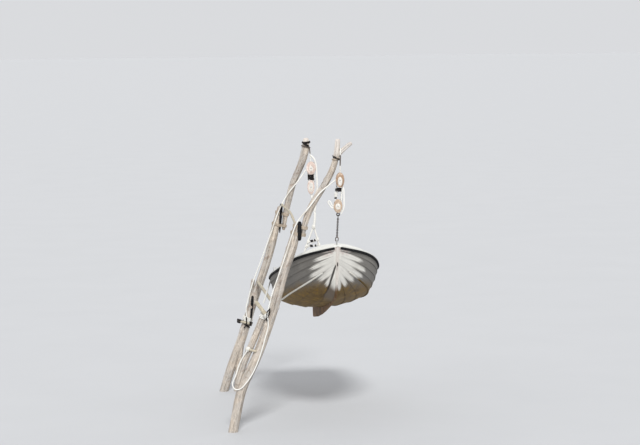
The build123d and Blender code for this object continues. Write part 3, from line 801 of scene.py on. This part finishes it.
def keel_paint(look):
    f = Finish("keel_paint", Specular_IOR_Level=0.1)
    x = boat_axes(f)[0]
    broad, fine = f.noises((4.0, 5), (50, 6, 0.7))
    base = f.mix(broad.step(0.35, 0.65), look.skeg, shade(look.skeg, 0.55))
    # Painted sunlight: the keel's fore end in the bow fan's white.
    base = f.mix((x + broad * 0.1).step(-0.42, -0.26), base, shade(look.fan, 0.84, 0.80, 0.79))
    base = f.mix((fine * 0.6 + broad * 0.4).step(0.5, 0.7) * 0.35, base, (0.12, 0.075, 0.04))
    return f.paint(base, 0.5 + fine * 0.3, fine, 0.25, 0.001)


def bilge_paint(look):
    """White on the starboard rail, partly painted sunlight; on the port one, aft of the bow, the
    bottom's brown darkened, in painted shade.
    """
    f = Finish("bilge_paint", Specular_IOR_Level=0.1)
    x, y, _ = boat_axes(f)
    fine, broad = f.noises((50, 6, 0.7), (5, 4))
    base = f.mix(broad.step(0.4, 0.7) * 0.4, look.moulding, (0.62, 0.50, 0.38))
    port = y.step(0.0, 0.02) * (1 - (x + broad * 0.1).step(-0.62, -0.42))
    base = f.mix(port, base, shade(look.bottom, 0.8))
    base = f.mix(fine.step(0.5, 0.8) * 0.4, base, (0.16, 0.13, 0.10))
    return f.paint(base, 0.5 + fine * 0.3, fine, 0.25, 0.001)


def pole_wood(look):
    """Bleached wood without bark: streaks and splits run with the pole, broad weathered patches,
    brown remains of bark, and dark checks."""
    f = Finish("pole_wood", Specular_IOR_Level=0.25)
    grain = f.grain()
    fibre = f.noise(f.scaled(grain, 9, 13, 13), 2.6, 6, 0.65, 0.4)
    streak = f.noise(f.scaled(grain, 1.1, 2.6, 2.6), 1.9, 5, 0.6, 0.35)
    crack = f.noise(f.scaled(grain, 1.5, 7, 7), 1.3, 3, 0.55, 0.45)
    here = f.noise(f.scaled(grain, 1.2, 1.4, 1.4), 1.7, 2).step(0.43, 0.55)
    split = (1 - (crack - 0.5).size().step(0.005, 0.030)) * here
    patch, spot = f.noises((3.0, 4, 0.6, 0.6), (17, 5, 0.7, 0.3))
    tone = f.mix(patch.step(0.38, 0.62), look.pole, look.pole_grey)
    for mask, amount, colour in (
            (streak.step(0.45, 0.62), 0.85, shade(look.pole, 0.58)),
            ((fibre * 0.6 + spot * 0.5).step(0.54, 0.70), 0.7, (0.92, 0.86, 0.77)),
            ((fibre * 0.5 + streak * 0.5).step(0.54, 0.66), 0.65, (0.27, 0.20, 0.15)),
            ((spot * 0.6 + patch * 0.5).step(0.58, 0.68), 0.65, (0.24, 0.155, 0.11)),
            # Lighter above 4 m.
            (f.axes(f.place())[2].step(3.98, 4.10), 0.5, (0.86, 0.80, 0.74)),
            (split, 0.9, (0.045, 0.032, 0.024))):
        tone = f.mix(mask * amount, tone, colour)
    bump = streak * 0.5 + fibre * 0.35 - split * 0.8
    return f.paint(tone, 0.72 + fibre * 0.2, bump, 0.6, 0.005)


def stick_wood(look):
    f = Finish("stick_wood")
    fibre, broad = f.noises((26, 6, 0.65, 0.5), (5, 4))
    tone = f.mix(fibre.step(0.35, 0.7), look.stick, shade(look.stick, 0.6))
    tone = f.mix(broad.step(0.5, 0.8) * 0.5, tone, (0.35, 0.30, 0.24))
    return f.paint(tone, 0.7 + fibre * 0.2, fibre, 0.4, 0.002)


def board_wood(_, name, colour):
    f = Finish(name)
    fibre = f.noise(f.scaled(f.place(), 6, 0.8, 6), 9, 6, 0.65, 0.4)
    tone = f.mix(fibre.step(0.3, 0.75), colour, shade(colour, 0.6))
    return f.paint(tone, 0.55 + fibre * 0.25, fibre, 0.3, 0.001)


def rope_fibre(look, name="rope_fibre", colour=None):
    """Rope with modelled strands: painted shade in the grooves that its grain gives, and dirty in
    patches."""
    colour = tuple(colour or look.rope)
    f = Finish(name, Specular_IOR_Level=0.12)
    strand = f.axes(f.grain())[1]
    fine, broad = f.noises((240, 4, 0.7), (6, 4))
    tone = f.mix(((1 - strand) * 0.5).step(0.55, 1.0) * 0.7, colour, shade(colour, 0.45))
    tone = f.mix(broad.step(0.45, 0.75) * 0.4, tone, shade(colour, 0.62))
    return f.paint(tone, 0.8 + fine * 0.15, fine, 0.5, 0.001)


def rope_solid(look, name="rope_solid", dark_from=None):
    """Laid rope on a plain round solid: slanting bands, wavy and worn, across each run, dark at
    their edges as painted shade of the grooves between strands. A strop has a dark whipping from a
    height upwards."""
    f = Finish(name, Specular_IOR_Level=0.2)
    place = f.place()
    fine, broad = f.noises((240, 4, 0.7), (7, 4))
    slant = f.dot(place, (38.0, 27.0, 29.0))
    band = ((slant + broad * 0.5).part() - 0.5).size() * 2
    tone = f.mix(band.step(0.55, 1.0) * 0.65, look.rope, shade(look.rope, 0.45))
    tone = f.mix(broad.step(0.5, 0.72) * 0.45, tone, (0.50, 0.42, 0.32))
    if dark_from:
        z = f.axes(place)[2]
        dark = (z + broad * 0.02).step(dark_from, dark_from + 0.03)
        dark = dark * (1 - z.step(dark_from + 0.15, dark_from + 0.17))
        tone = f.mix(dark * 0.92, tone, (0.07, 0.05, 0.04))
    return f.paint(tone, 0.8 + fine * 0.15, (1 - band) * 0.7 + fine * 0.3, 0.6, 0.002)


def iron(_, name, colour, rust, amount):
    f = Finish(name, Metallic=0.55)
    fine, broad = f.noises((130, 6, 0.7), (22, 4))
    base = f.mix((fine * 0.5 + broad * 0.6).step(0.62 - amount, 0.9 - amount), colour, rust)
    return f.paint(base, 0.45 + fine * 0.4, fine, 0.4, 0.001)


def block_wood(_, name, colour, wear):
    f = Finish(name)
    fibre = f.noise(f.scaled(f.place(), 30, 30, 5), 3.0, 6, 0.6, 0.3)
    broad, fine = f.noises((24, 4), (160, 5, 0.7))
    tone = f.mix(fibre.step(0.3, 0.7), colour, shade(colour, 0.6))
    tone = f.mix((broad * 0.6 + fine * 0.4).step(0.5, 0.62), tone, wear)
    return f.paint(tone, 0.5 + fine * 0.3, fibre * 0.6 + fine * 0.4, 0.4, 0.001)


# Key: function that makes the finish, and what it takes after the look.
MAKERS = {
    "hull": (hull_paint,),
    "white": (white_moulding,),
    "rubber": (speckled, "rail_rubber", 45, 0.8, (0.008, 0.008, 0.009), (0.045, 0.043, 0.042),
               (0.7, 0.25), 0.3, 0.15),
    "keel": (keel_paint,),
    "bilge": (bilge_paint,),
    "pole": (pole_wood,),
    "stick": (stick_wood,),
    "bench": (board_wood, "bench_wood", (0.70, 0.64, 0.53)),
    "boards": (board_wood, "board_wood", (0.50, 0.43, 0.33)),
    "rope": (rope_fibre,),
    "dark_rope": (rope_fibre, "dark_rope", (0.022, 0.019, 0.018)),
    "old_rope": (rope_fibre, "old_rope", (0.52, 0.44, 0.35)),
    "rope_solid": (rope_solid,),
    "strop": (rope_solid, "strop_rope", 3.87),
    "sheave": (speckled, "sheave_face", 120, 0.75, (0.84, 0.82, 0.76), (0.52, 0.47, 0.40),
               (0.4, 0.3), 0.2),
    "galvanised": (iron, "galvanised", (0.50, 0.50, 0.49), (0.36, 0.30, 0.24), 0.0),
    "dark_iron": (iron, "dark_iron", (0.07, 0.06, 0.055), (0.20, 0.11, 0.06), 0.08),
    "block": (block_wood, "block_brown", (0.42, 0.27, 0.17), (0.60, 0.47, 0.36)),
    "block_tan": (block_wood, "block_tan", (0.52, 0.38, 0.27), (0.72, 0.62, 0.50)),
    "block_pale": (block_wood, "block_pale", (0.74, 0.58, 0.50), (0.88, 0.80, 0.74)),
    # White plates, partly painted highlights on the cheeks.
    "plate": (block_wood, "plate_white", (0.84, 0.81, 0.75), (0.66, 0.58, 0.48)),
}
FINISHES = {}


def finish(key):
    """Makes each finish once, when a piece first asks for it."""
    if key not in FINISHES:
        maker, *details = MAKERS[key]
        FINISHES[key] = maker(bpy.context.scene.skiff_look, *details)
    return FINISHES[key]


def dress(obj, key, slot, *nodes):
    """Gives a new piece its finish and its body, and hides the solids it stands for. slot is not
    used."""
    obj.data.materials.append(finish(key))
    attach(obj, ROOT)
    if nodes:
        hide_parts(*nodes)


def refinish(key, *nodes):
    """Puts a finish on solids that are shown as they are."""
    for node in nodes:
        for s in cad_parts[node].material_slots:
            s.material = finish(key)


def on_davit(name, points):
    """Points in the davit's own plane, moved to the far davit if the piece is one of its own."""
    return np.asarray(points, float) + (0, SPACING if name.startswith("far") else 0, 0)


def rope(name, path, radius, key="rope", across=ROW, lay=0.055, nodes=()):
    """A laid rope in one of the rope finishes."""
    dress(laid(name, path, radius, across, lay), key, "rope", *nodes)


def wound(name, a, b, axis, radius, thick, turns, pitch, key="rope", across=None, phase=0.0,
          nodes=()):
    """A rope wound round two middles, or round one."""
    path = winding(a, b, axis, radius, thick, turns, pitch, phase)
    rope(name, path, thick, key, axis if across is None else across, nodes=nodes)


# ---- sizes and colours to change
def tint(name, description, default):
    return FloatVectorProperty(name=name, description=description, subtype="COLOR", default=default)


def length(name, description, default):
    return FloatProperty(name=name, description=description, unit="LENGTH", default=default)


class SkiffLook(bpy.types.PropertyGroup):
    topsides: tint("Topsides", "Weathered paint above the bilge", (0.215, 0.205, 0.188))
    bottom: tint("Bottom", "Stained paint below the bilge", (0.150, 0.092, 0.024))
    fan: tint("Bow fan", "Clean paint at the bow", (0.82, 0.80, 0.74))
    moulding: tint("Deck", "Gunwale cap and foredeck", (0.69, 0.69, 0.64))
    skeg: tint("Skeg", "Keel and skeg", (0.195, 0.112, 0.055))
    pole: tint("Pole", "Bleached wood", (0.60, 0.515, 0.425))
    pole_grey: tint("Grey wood", "Weathered patches", (0.50, 0.47, 0.43))
    stick: tint("Sticks", "Spreaders and cleats", (0.56, 0.50, 0.38))
    rope: tint("Rope", "Tackle rope", (0.85, 0.84, 0.79))


class SkiffRig(bpy.types.PropertyGroup):
    lashing_rope: length("Lashing rope", "Radius of the rope round the poles", 0.0058)
    lashing_turns: IntProperty(name="Lashing turns", description="Turns of rope in each lashing",
                               default=4)
    cleat_rope: length("Cleat rope", "Radius of the rope on the cleats", 0.009)
    link_wire: length("Chain wire", "Radius of the chain's wire", 0.0044)
    links: IntProperty(name="Links", description="Links between the two shackles of the bow chain",
                       default=14)
    cheek_rise: length("Cheek rise", "How far a block's cheek is domed", 0.010)


# ---- operators
# Sections of the mouldings as (outwards, up) from the sheer or the chine.
RAIL_SECTION = [
    (-.010, -.002), (.012, -.001), (.019, -.006), (RAIL_DEPTH, -.014), (RAIL_DEPTH, -.022),
    (.018, -.030), (.010, -RAIL_HEIGHT), (-.010, -RAIL_HEIGHT)]
CAP_SECTION = [
    (.016, 0), (.018, .004), (.018, .010), (.014, CAP_HEIGHT), (-.054, CAP_HEIGHT), (-.059, .010),
    (-CAP_WIDTH, 0)]
BILGE_SECTION = [
    (-.004, -.013), (.012, -.011), (.015, -.004), (.015, .004), (.012, .010), (-.004, .013)]
# Where the bilge rails start and end, as shares of the hull's length.
BILGE_SPAN = 0.01, 0.925


class SKIFF_OT_hull(bpy.types.Operator):
    """Planking, keel, rails, caps and decks of the skiff"""
    bl_idname = "skiff.hull"
    bl_label = "Hull"

    def execute(self, context):
        dress(planking(), "hull", "hull_paint", "hull")
        dress(keel_piece(), "keel", "keel_paint", "keel")
        rail = along_edge("rub_rail_bead", SHEER_ROWS, RAIL_SECTION)
        dress(rail, "rubber", "black_rubber", "rub_rail")
        cap = along_edge("gunwale_capping", SHEER_ROWS, CAP_SECTION, 0.0, DECK_FROM + 0.004)
        dress(cap, "white", "white_paint", "gunwale_cap")
        dress(transom_capping(), "white", "white_paint", "gunwale_cap")
        dress(foredeck(), "white", "white_paint", "foredeck")
        beads = along_edge("bilge_rail_beads", CHINE_ROWS, BILGE_SECTION, *BILGE_SPAN)
        dress(beads, "bilge", "white_paint", "bilge_rails")
        refinish("bench", "thwarts")
        refinish("boards", "floor_boards")
        refinish("galvanised", "bow_ring", "stern_rings", "rowlock_sockets")
        refinish("dark_iron", "bow_eye")
        return {"FINISHED"}


# Branch that stands for the straight spreader: radius, and bends as share of the way and rise.
BRANCH_RADIUS = .0180
BRANCH_BENDS = (0, 0), (.28, .024), (.50, .047), (.64, .036), (.78, .0), (.90, -.004), (1, 0)
PEG_RADIUS = .0265
PEG = (.358, -.066, 1.925), (.410, -.064, 1.855), (.528, -.066, 1.690)


class SKIFF_OT_poles(bpy.types.Operator):
    """The natural poles of both davits"""
    bl_idname = "skiff.poles"
    bl_label = "Poles"

    def execute(self, context):
        for seed, (node, (y, rows)) in enumerate(POLES.items(), 3):
            target = "near_spar" if node == "near_fork" else node
            dress(pole_piece(node + "_wood", rows, y, seed), "pole", "pole_wood", target)
        refinish("stick", "lower_spreader", "near_cleats", "far_cleat")
        # The branch ends where the straight spreader does.
        lo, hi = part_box("upper_spreader")
        start = np.array((lo[0] + .019, hi[1] - .012, hi[2] - .019))
        end = np.array((hi[0] - .019, lo[1] + .012, lo[2] + .019))
        bends = [start + (end - start) * share + (0, 0, rise) for share, rise in BRANCH_BENDS]
        branch = crooked_stick("upper_spreader_branch", bends, BRANCH_RADIUS)
        dress(branch, "stick", "stick_wood", "upper_spreader")
        dress(crooked_stick("near_peg_wood", PEG, PEG_RADIUS), "stick", "stick_wood")
        return {"FINISHED"}


LASHING_HEIGHTS = {"near": (2.905, 3.008), "far": (2.735, 2.920)}
# Wedge: low and high end, half-thickness, half-depth, taper, solid that it stands for.
# The black of these bars stands partly for the deep shade in the gaps between the poles.
WEDGES = {
    "near_wedge_block": ((1.004, -.006, 2.795), (1.010, -.006, 3.075), .035, .066, 0, "near_wedge"),
    "far_wedge_block": ((.646, -.008, 2.590), (.680, -.008, 3.070), .034, .068, .62, "far_wedge"),
    "far_foot_wedge_and_shade": ((.150, -.048, 1.090), (.197, -.048, 1.575), .031, .034, .55),
}
# Turns round a pole: pole, height, rope radius (none for the cleats' rope), turns, pitch, extra
# radius, tilt, finish.
POLE_TURNS = {
    "far_knob_turns": ("far_spar", 4.058, .0090, 1.7, .018, 0, -.12, "dark_rope"),
    "far_knob_riding_turns": ("far_spar", 4.022, .0090, 1.3, .018, .006, .62, "dark_rope"),
    "near_crotch_turns": ("near_spar", 3.975, .0085, 1.4, .018, 0, -.45, "old_rope"),
    "near_crotch_riding_turns": ("near_spar", 3.990, .0070, 1.6, .015, .006, .35, "dark_rope"),
    "near_belay_turns": ("near_doubler", 1.700, None, 3.3, .020, 0, .15, "rope"),
    "far_belay_turns": ("far_post", 1.185, None, 3.3, .020, 0, .12, "rope"),
    "far_belay_band": ("far_post", 1.100, .0065, 1.3, .015, .004, .60, "dark_rope"),
}
# Turns round a cleat's stick: two points on the stick, share of the way, stick radius, turns,
# finish.
NEAR_PEG = (.372, -.066, 1.905), (.520, -.066, 1.700)
NEAR_CLEAT = (.205, -.062, 1.235), (.362, -.062, 1.190)
FAR_CLEAT = (-.060, -.084, 1.170), (.175, -.084, 1.110)
HITCHES = {
    "near_peg_hitch": (NEAR_PEG, .93, .026, 3.3, "rope"),
    "near_cleat_hitch": (NEAR_CLEAT, .20, .018, 2.4, "rope"),
    "far_cleat_hitch": (FAR_CLEAT, .12, .019, 3.4, "dark_rope"),
    "far_cleat_end_hitch": (FAR_CLEAT, .93, .019, 2.4, "dark_rope"),
}
# Tails and strops below the cleats: the rope's radius, and points in the davit's own plane.
TAIL_ROPE = 0.0095
RUNS = {
    # The near dark tail and bight stand partly for the shade between the white wraps and the post.
    "near_dark_shade_tail": [
        (.572, -.080, 1.818), (.548, -.094, 1.802), (.528, -.100, 1.770), (.517, -.100, 1.715),
        (.515, -.100, 1.665), (.526, -.096, 1.635)],
    "near_dark_shade_bight": [
        (.566, -.084, 1.800), (.556, -.092, 1.750), (.540, -.096, 1.715), (.522, -.099, 1.700)],
    "far_dark_tail": [
        (.084, -.112, 1.232), (.092, -.116, 1.185), (.090, -.116, 1.130), (.070, -.112, 1.085),
        (.046, -.106, 1.045)],
    "near_belay_tail": [
        (.5410, -.0900, 1.815), (.534, -.097, 1.765), (.517, -.098, 1.725), (.508, -.095, 1.705)],
    "far_belay_tail": [(.0905, -.112, 1.412), (.088, -.114, 1.300), (.100, -.102, 1.205)],
    "doubler_strop": [
        (.530, -.086, 1.690), (.536, -.083, 1.560), (.500, -.082, 1.420), (.452, -.078, 1.250),
        (.352, -.074, .975), (.272, -.080, .824), (.178, -.088, .700), (.105, -.070, .640),
        (.040, -.050, .640), (.006, -.038, .695), (.038, -.034, .800), (.100, -.036, .980),
        (.170, -.052, 1.120), (.226, -.086, 1.205)],
}


class SKIFF_OT_lashings(bpy.types.Operator):
    """Rope turns, wedges and cleat hitches on the poles"""
    bl_idname = "skiff.lashings"
    bl_label = "Lashings"

    def execute(self, context):
        rig = context.scene.skiff_rig
        thin, cleat_rope = rig.lashing_rope, rig.cleat_rope
        lean = (0.2, 0, 1)
        for side, heights in LASHING_HEIGHTS.items():
            for place, z in zip(("lower", "upper"), heights):
                a, r0, _ = pole_at(side + "_post", z - 0.01)
                b, r1, _ = pole_at(side + "_spar", z)
                a[2] = b[2] = z
                wound(side + "_lashing_" + place, a, b, lean, (r0 + thin, r1 + thin + 0.004), thin,
                      rig.lashing_turns, 2.05 * thin, "old_rope", nodes=(side + "_lashing",))
        for name, (low, high, thick, deep, taper, *node) in WEDGES.items():
            ends = on_davit(name, (low, high))
            dress(wedge_bar(name, *ends, thick, deep, taper), "rubber", "black_rubber", *node)
        for name, (node, z, thick, turns, pitch, out, tilt, key) in POLE_TURNS.items():
            thick = thick or cleat_rope
            c, r, d = pole_at(node, z)
            wound(name, c, c, d + (tilt, 0, 0), r * 1.03 + thick + out, thick, turns, pitch, key, d,
                  0.35)
        for name, (stick, share, wood, turns, key) in HITCHES.items():
            a, b = on_davit(name, stick)
            c = a + (b - a) * share
            wound(name, c, c, b - a, wood + cleat_rope * 0.9, cleat_rope, turns,
                  2.1 * cleat_rope, key)
        for name, points in RUNS.items():
            key = "dark_rope" if "dark" in name else "rope"
            rope(name, smooth_path(on_davit(name, points), 0.007), TAIL_ROPE, key)
        return {"FINISHED"}


# Block shell: its wood, its plate's half-width, half-height and drop as shares of the shell's.
# The white plates stand partly for painted highlights on the cheeks.
BLOCKS = {
    "near_upper": ("block", .54, .62, .16),
    "near_lower": ("block_tan", .62, .46, .04),
    "far_upper": ("block_pale", .42, .42, .05),
    "far_lower": ("block_pale", .66, .68, 0.0),
}
# Seizings below the upper blocks, and the knot on one part: two middles, axis, radius, rope
# radius, turns, finish.
SEIZINGS = {
    "near_seizing": ((1.562, 0, 3.528), (1.590, 0, 3.528), UP, .030, .0062, 3.7, "dark_rope"),
    "far_seizing": ((1.150, 0, 3.494), (1.184, 0, 3.494), UP, .032, .0066, 6.4, "dark_rope"),
    "near_part_knot": ((1.539, .010, 3.458), (1.539, .010, 3.458), (.087, .06, 1), .018, .0090, 3.8,
                       "rope"),
    "near_part_tie": ((1.534, .007, 3.408), (1.534, .007, 3.408), (.087, .06, 1), .0145, .0050, 2.2,
                      "dark_rope"),
}
# Short ropes beside the blocks: radius, step along the path, points in the davit's own plane.
STAYS = {
    "near_block_eye": (.0105, .006, [
        (1.515, -.020, 3.262), (1.478, -.026, 3.272), (1.440, -.028, 3.318), (1.424, -.028, 3.352),
        (1.436, -.028, 3.368), (1.458, -.028, 3.352), (1.484, -.026, 3.306),
        (1.515, -.020, 3.286)]),
    "near_preventer": (.0115, .008, [
        (1.630, -.020, 3.592), (1.648, -.020, 3.545), (1.655, -.018, 3.480), (1.655, -.018, 3.350),
        (1.646, -.016, 3.250), (1.605, -.008, 3.175)]),
    "far_preventer": (.0165, .008, [
        (1.165, -.030, 3.850), (1.212, -.034, 3.800), (1.242, -.030, 3.720), (1.257, -.024, 3.560),
        (1.264, -.020, 3.370), (1.248, -.020, 3.140), (1.222, -.020, 2.930)]),
}
# The bridle's apex in the davit's own plane, its feet on the transom in the boat's axes, and its
# ties: height on the port and the starboard leg.
APEX = (1.200, -0.010, 2.672)
BRIDLE_FEET = {"port": (0.022, 0.245, 0.670), "starboard": (0.022, -0.245, 0.670)}
TIES = {"upper": (2.478, 2.440), "cross": (2.470, 2.372), "lower": (2.384, 2.366)}
# Rope radii: the line from the boat's quarter, then the bridle's trunk, legs, ties and the turns on
# them.
QUARTER_ROPE, TRUNK_ROPE, LEG_ROPE, TIE_ROPE = .0115, .020, .0145, .0080
SEIZING_ROPE, HITCH_ROPE, WHIP_ROPE = .0075, .0085, .0070
PEG_TURN = (.476, -.085, 1.905)
# Chain: where it hangs, how far it goes into hook and ring, a shackle's length, wire and gap, and
# a link's gap.
CHAIN_X, CHAIN_INSET, SHACKLE, LINK_GAP = 1.567, 0.016, (.050, .0060, .0130), .0060


class SKIFF_OT_tackles(bpy.types.Operator):
    """Blocks, ropes, chain and slings"""
    bl_idname = "skiff.tackles"
    bl_label = "Tackles"

    def execute(self, context):
        rig = context.scene.skiff_rig
        refinish("rope_solid", "near_rope", "far_rope")
        corner = in_row(mirrored(SHEER_ROWS[0]) + np.array([.03, -.022, -.02]))
        rope("quarter_line", np.linspace(PEG_TURN, corner, 160), QUARTER_ROPE, lay=0.06)
        refinish("strop", "near_strop", "far_strop")
        for block, plate in BLOCKS.items():
            self.cheeks(block, rig.cheek_rise, *plate)
        for side in ("near_", "far_"):
            refinish("sheave", *(side + part for part in (
                "upper_sheave_front", "upper_sheave_back", "lower_sheave")))
            refinish("galvanised", side + "pins", side + "becket")
        refinish("dark_iron", "near_hook")
        for name, (a, b, axis, radius, thick, turns, key) in SEIZINGS.items():
            a, b = on_davit(name, (a, b))
            wound(name, a, b, axis, radius, thick, turns, 2.08 * thick, key, UP)
        for name, (radius, step, points) in STAYS.items():
            rope(name, smooth_path(on_davit(name, points), step), radius)
        self.chain(rig)
        self.bridle()
        return {"FINISHED"}

    def cheeks(self, block, rise, wood, wide, tall, drop):
        """Domed cheeks, their plates and the pin's heads on both sides of a block's shell."""
        shell = block + "_shell"
        refinish(wood, shell)
        lo, hi = (np.array(v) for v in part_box(shell))
        (x, _, z), (a, _, b) = (lo + hi) / 2, (hi - lo) / 2
        for part, down, up, sizes, key, slot in (
                ("cheeks", 0, 0, (a * .985, b * .985, rise, .001), wood, "block_wood"),
                ("plates", b * drop, rise * .86, (a * wide, b * tall, .006, .008, 4.0), "plate",
                 "block_wood"),
                ("pin_heads", 0, rise + .003, (.012, .012, .006, .006, 3.0), "galvanised",
                 "galvanised")):
            ovals = [domed_oval((x, y + facing * up, z - down), *sizes[:3], facing, *sizes[3:])
                     for facing, y in ((-1, lo[1]), (1, hi[1]))]
            dress(joined(block + "_" + part, ovals), key, slot)

    def chain(self, rig):
        """Fine links from the near hook to the ring on the stem head."""
        hook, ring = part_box("near_hook")[0], np.array(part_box("bow_ring"))
        start = np.array([CHAIN_X, 0, hook[2] + CHAIN_INSET])
        end = np.append(ring[:, :2].mean(0), ring[1, 2] - CHAIN_INSET)
        links = chain("bow_chain_links", start, end, SHACKLE, rig.links, rig.link_wire, LINK_GAP)
        dress(links, "dark_iron", "dark_iron", "bow_chain")

    def bridle(self):
        """The stern's bridle: a trunk from the far block, two legs, ties across them and their
        hitches."""
        block = np.array(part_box("far_lower_shell"))
        top = ((block[0, 0] + block[1, 0]) / 2, 0, block[0, 2] + 0.012)
        trunk = on_davit("far", [top, (1.198, -0.006, 3.060), (1.222, -0.010, 2.880), APEX])
        apex = trunk[-1]
        solid = ("stern_bridle",)
        rope("bridle_trunk", smooth_path(trunk, 0.010), TRUNK_ROPE, lay=0.11, nodes=solid)
        c = apex + (0, 0, .012)
        wound("bridle_seizing", c, c, UP, .024, SEIZING_ROPE, 3.4, .015)
        feet = {side: in_row(foot) for side, foot in BRIDLE_FEET.items()}
        for side, foot in feet.items():
            path = np.linspace(apex + (0, 0, .03), foot, 70)
            rope("bridle_leg_" + side, path, LEG_ROPE, lay=0.07, nodes=solid)
        front = np.array((0, -.021, 0))
        for tie, heights in TIES.items():
            ends = [apex + (foot - apex) * (apex[2] - z) / (apex[2] - foot[2]) + front
                    for foot, z in zip(feet.values(), heights)]
            rope("bridle_tie_" + tie, np.linspace(*ends, 60), TIE_ROPE, across=UP)
            if tie == "cross":
                continue
            for (side, foot), end in zip(feet.items(), ends):
                end = end - front
                wound("bridle_hitch_%s_%s" % (tie, side), end, end, apex - foot, .0215,
                      HITCH_ROPE, 2.3, .018)
            across = ends[1] - ends[0]
            for k, share in enumerate((.27, .62)):
                c = ends[0] + across * share
                wound("bridle_whip_%s_%d" % (tie, k), c, c, across, .0150, WHIP_ROPE,
                      1.6 + 1.6 * k, .015, "dark_rope")


# ---- stage
# Half the floor's width in metres and its two tones; the sky's strength, its tone as a lamp, and
# the tone that is seen.
FLOOR, FLOOR_TONES = 4000.0, ((0.51, 0.52, 0.53), (0.54, 0.55, 0.56))
SKY_STRENGTH, SKY_LIGHT, SKY_SEEN = 0.60, (0.97, 0.97, 1.0, 1), (0.70, 0.71, 0.73, 1)
# Camera: place, degrees it looks down and is turned, sensor width in mm, focal length as a share of
# the picture's width, and far clip.
CAMERA_PLACE, LOOKS_DOWN, TURNED = (1.304, -28.84, 5.5), 4.845, -0.627
SENSOR, FOCAL, FAR_CLIP = 36.0, 2000 / 640, 9000
# Sun: strength, spread in degrees, direction.
SUNS = {
    "key": (2.7, 12.0, (-0.08, 0.74, -0.66)),
    "fill": (0.35, 60.0, (0.80, 0.55, -0.25)),
    "back": (0.45, 60.0, (0.10, -0.80, -0.60)),
}


def put(name, data, matrix):
    """A lamp's or a camera's object, in its place."""
    obj = bpy.data.objects.new(name, data)
    bpy.context.scene.collection.objects.link(obj)
    obj.matrix_world = matrix
    return obj


class SKIFF_OT_stage(bpy.types.Operator):
    """Floor, lamps and camera"""
    bl_idname = "skiff.stage"
    bl_label = "Stage"

    def execute(self, context):
        scene = context.scene
        scene.view_settings.view_transform = "Standard"
        f = Finish("pale_floor", Roughness=0.9)
        f.paint(f.mix(f.noise(f.place(), 0.6, 3), *FLOOR_TONES))
        corners = [(x * FLOOR, y * FLOOR, 0) for x, y in ((-1, -1), (1, -1), (1, 1), (-1, 1))]
        floor = new_piece("floor", corners, [[0, 1, 2, 3]], closed=False)
        floor.data.materials.append(f.material)
        self.world(scene)
        for name, (energy, spread, direction) in SUNS.items():
            lamp = bpy.data.lights.new(name, "SUN")
            lamp.energy, lamp.angle = energy, math.radians(spread)
            put(name, lamp, Vector(direction).to_track_quat("-Z", "Y").to_matrix().to_4x4())
        camera = bpy.data.cameras.new("camera")
        camera.sensor_width, camera.lens = SENSOR, SENSOR * FOCAL
        camera.clip_end = FAR_CLIP
        scene.camera = put("camera", camera, Matrix.Translation(CAMERA_PLACE)
                           @ Matrix.Rotation(math.radians(90 - LOOKS_DOWN), 4, "X")
                           @ Matrix.Rotation(math.radians(TURNED), 4, "Z"))
        return {"FINISHED"}

    def world(self, scene):
        """Soft sky light, with a plain pale tone where the sky itself is seen."""
        world = scene.world = bpy.data.worlds.new("studio")
        world.use_nodes = True
        nodes = world.node_tree.nodes
        sky = nodes["Background"]
        seen, rays, pick = (nodes.new("ShaderNode" + kind)
                            for kind in ("Background", "LightPath", "MixShader"))
        camera, glossy, through = (Value(rays.outputs["Is %s Ray" % kind])
                                   for kind in ("Camera", "Glossy", "Transmission"))
        direct = (camera + glossy + through).at_most(1.0)
        for socket, value in (
                (sky.inputs[0], SKY_LIGHT), (sky.inputs[1], SKY_STRENGTH),
                (seen.inputs[0], SKY_SEEN), (pick.inputs[0], direct),
                (pick.inputs[1], sky.outputs[0]), (pick.inputs[2], seen.outputs[0]),
                (nodes["World Output"].inputs[0], pick.outputs[0])):
            feed(socket, value)


class SKIFF_PT_panel(bpy.types.Panel):
    bl_label = "Skiff on davits"
    bl_idname = "SKIFF_PT_panel"
    bl_space_type = "VIEW_3D"
    bl_region_type = "UI"
    bl_category = "Skiff"

    def draw(self, context):
        column = self.layout.column()
        for group in (context.scene.skiff_look, context.scene.skiff_rig):
            for key in group.__annotations__:
                column.prop(group, key)
        for op in OPERATORS:
            column.operator(op.bl_idname)


OPERATORS = (SKIFF_OT_hull, SKIFF_OT_poles, SKIFF_OT_lashings, SKIFF_OT_tackles, SKIFF_OT_stage)
CLASSES = (SkiffLook, SkiffRig) + OPERATORS + (SKIFF_PT_panel,)


def register():
    for c in CLASSES:
        bpy.utils.register_class(c)
    bpy.types.Scene.skiff_look = PointerProperty(type=SkiffLook)
    bpy.types.Scene.skiff_rig = PointerProperty(type=SkiffRig)


def unregister():
    del bpy.types.Scene.skiff_look
    del bpy.types.Scene.skiff_rig
    for c in reversed(CLASSES):
        bpy.utils.unregister_class(c)


def main():
    register()
    bpy.ops.skiff.hull()
    bpy.ops.skiff.poles()
    bpy.ops.skiff.lashings()
    bpy.ops.skiff.tackles()
    bpy.ops.skiff.stage()


if __name__ == "__main__":
    main()
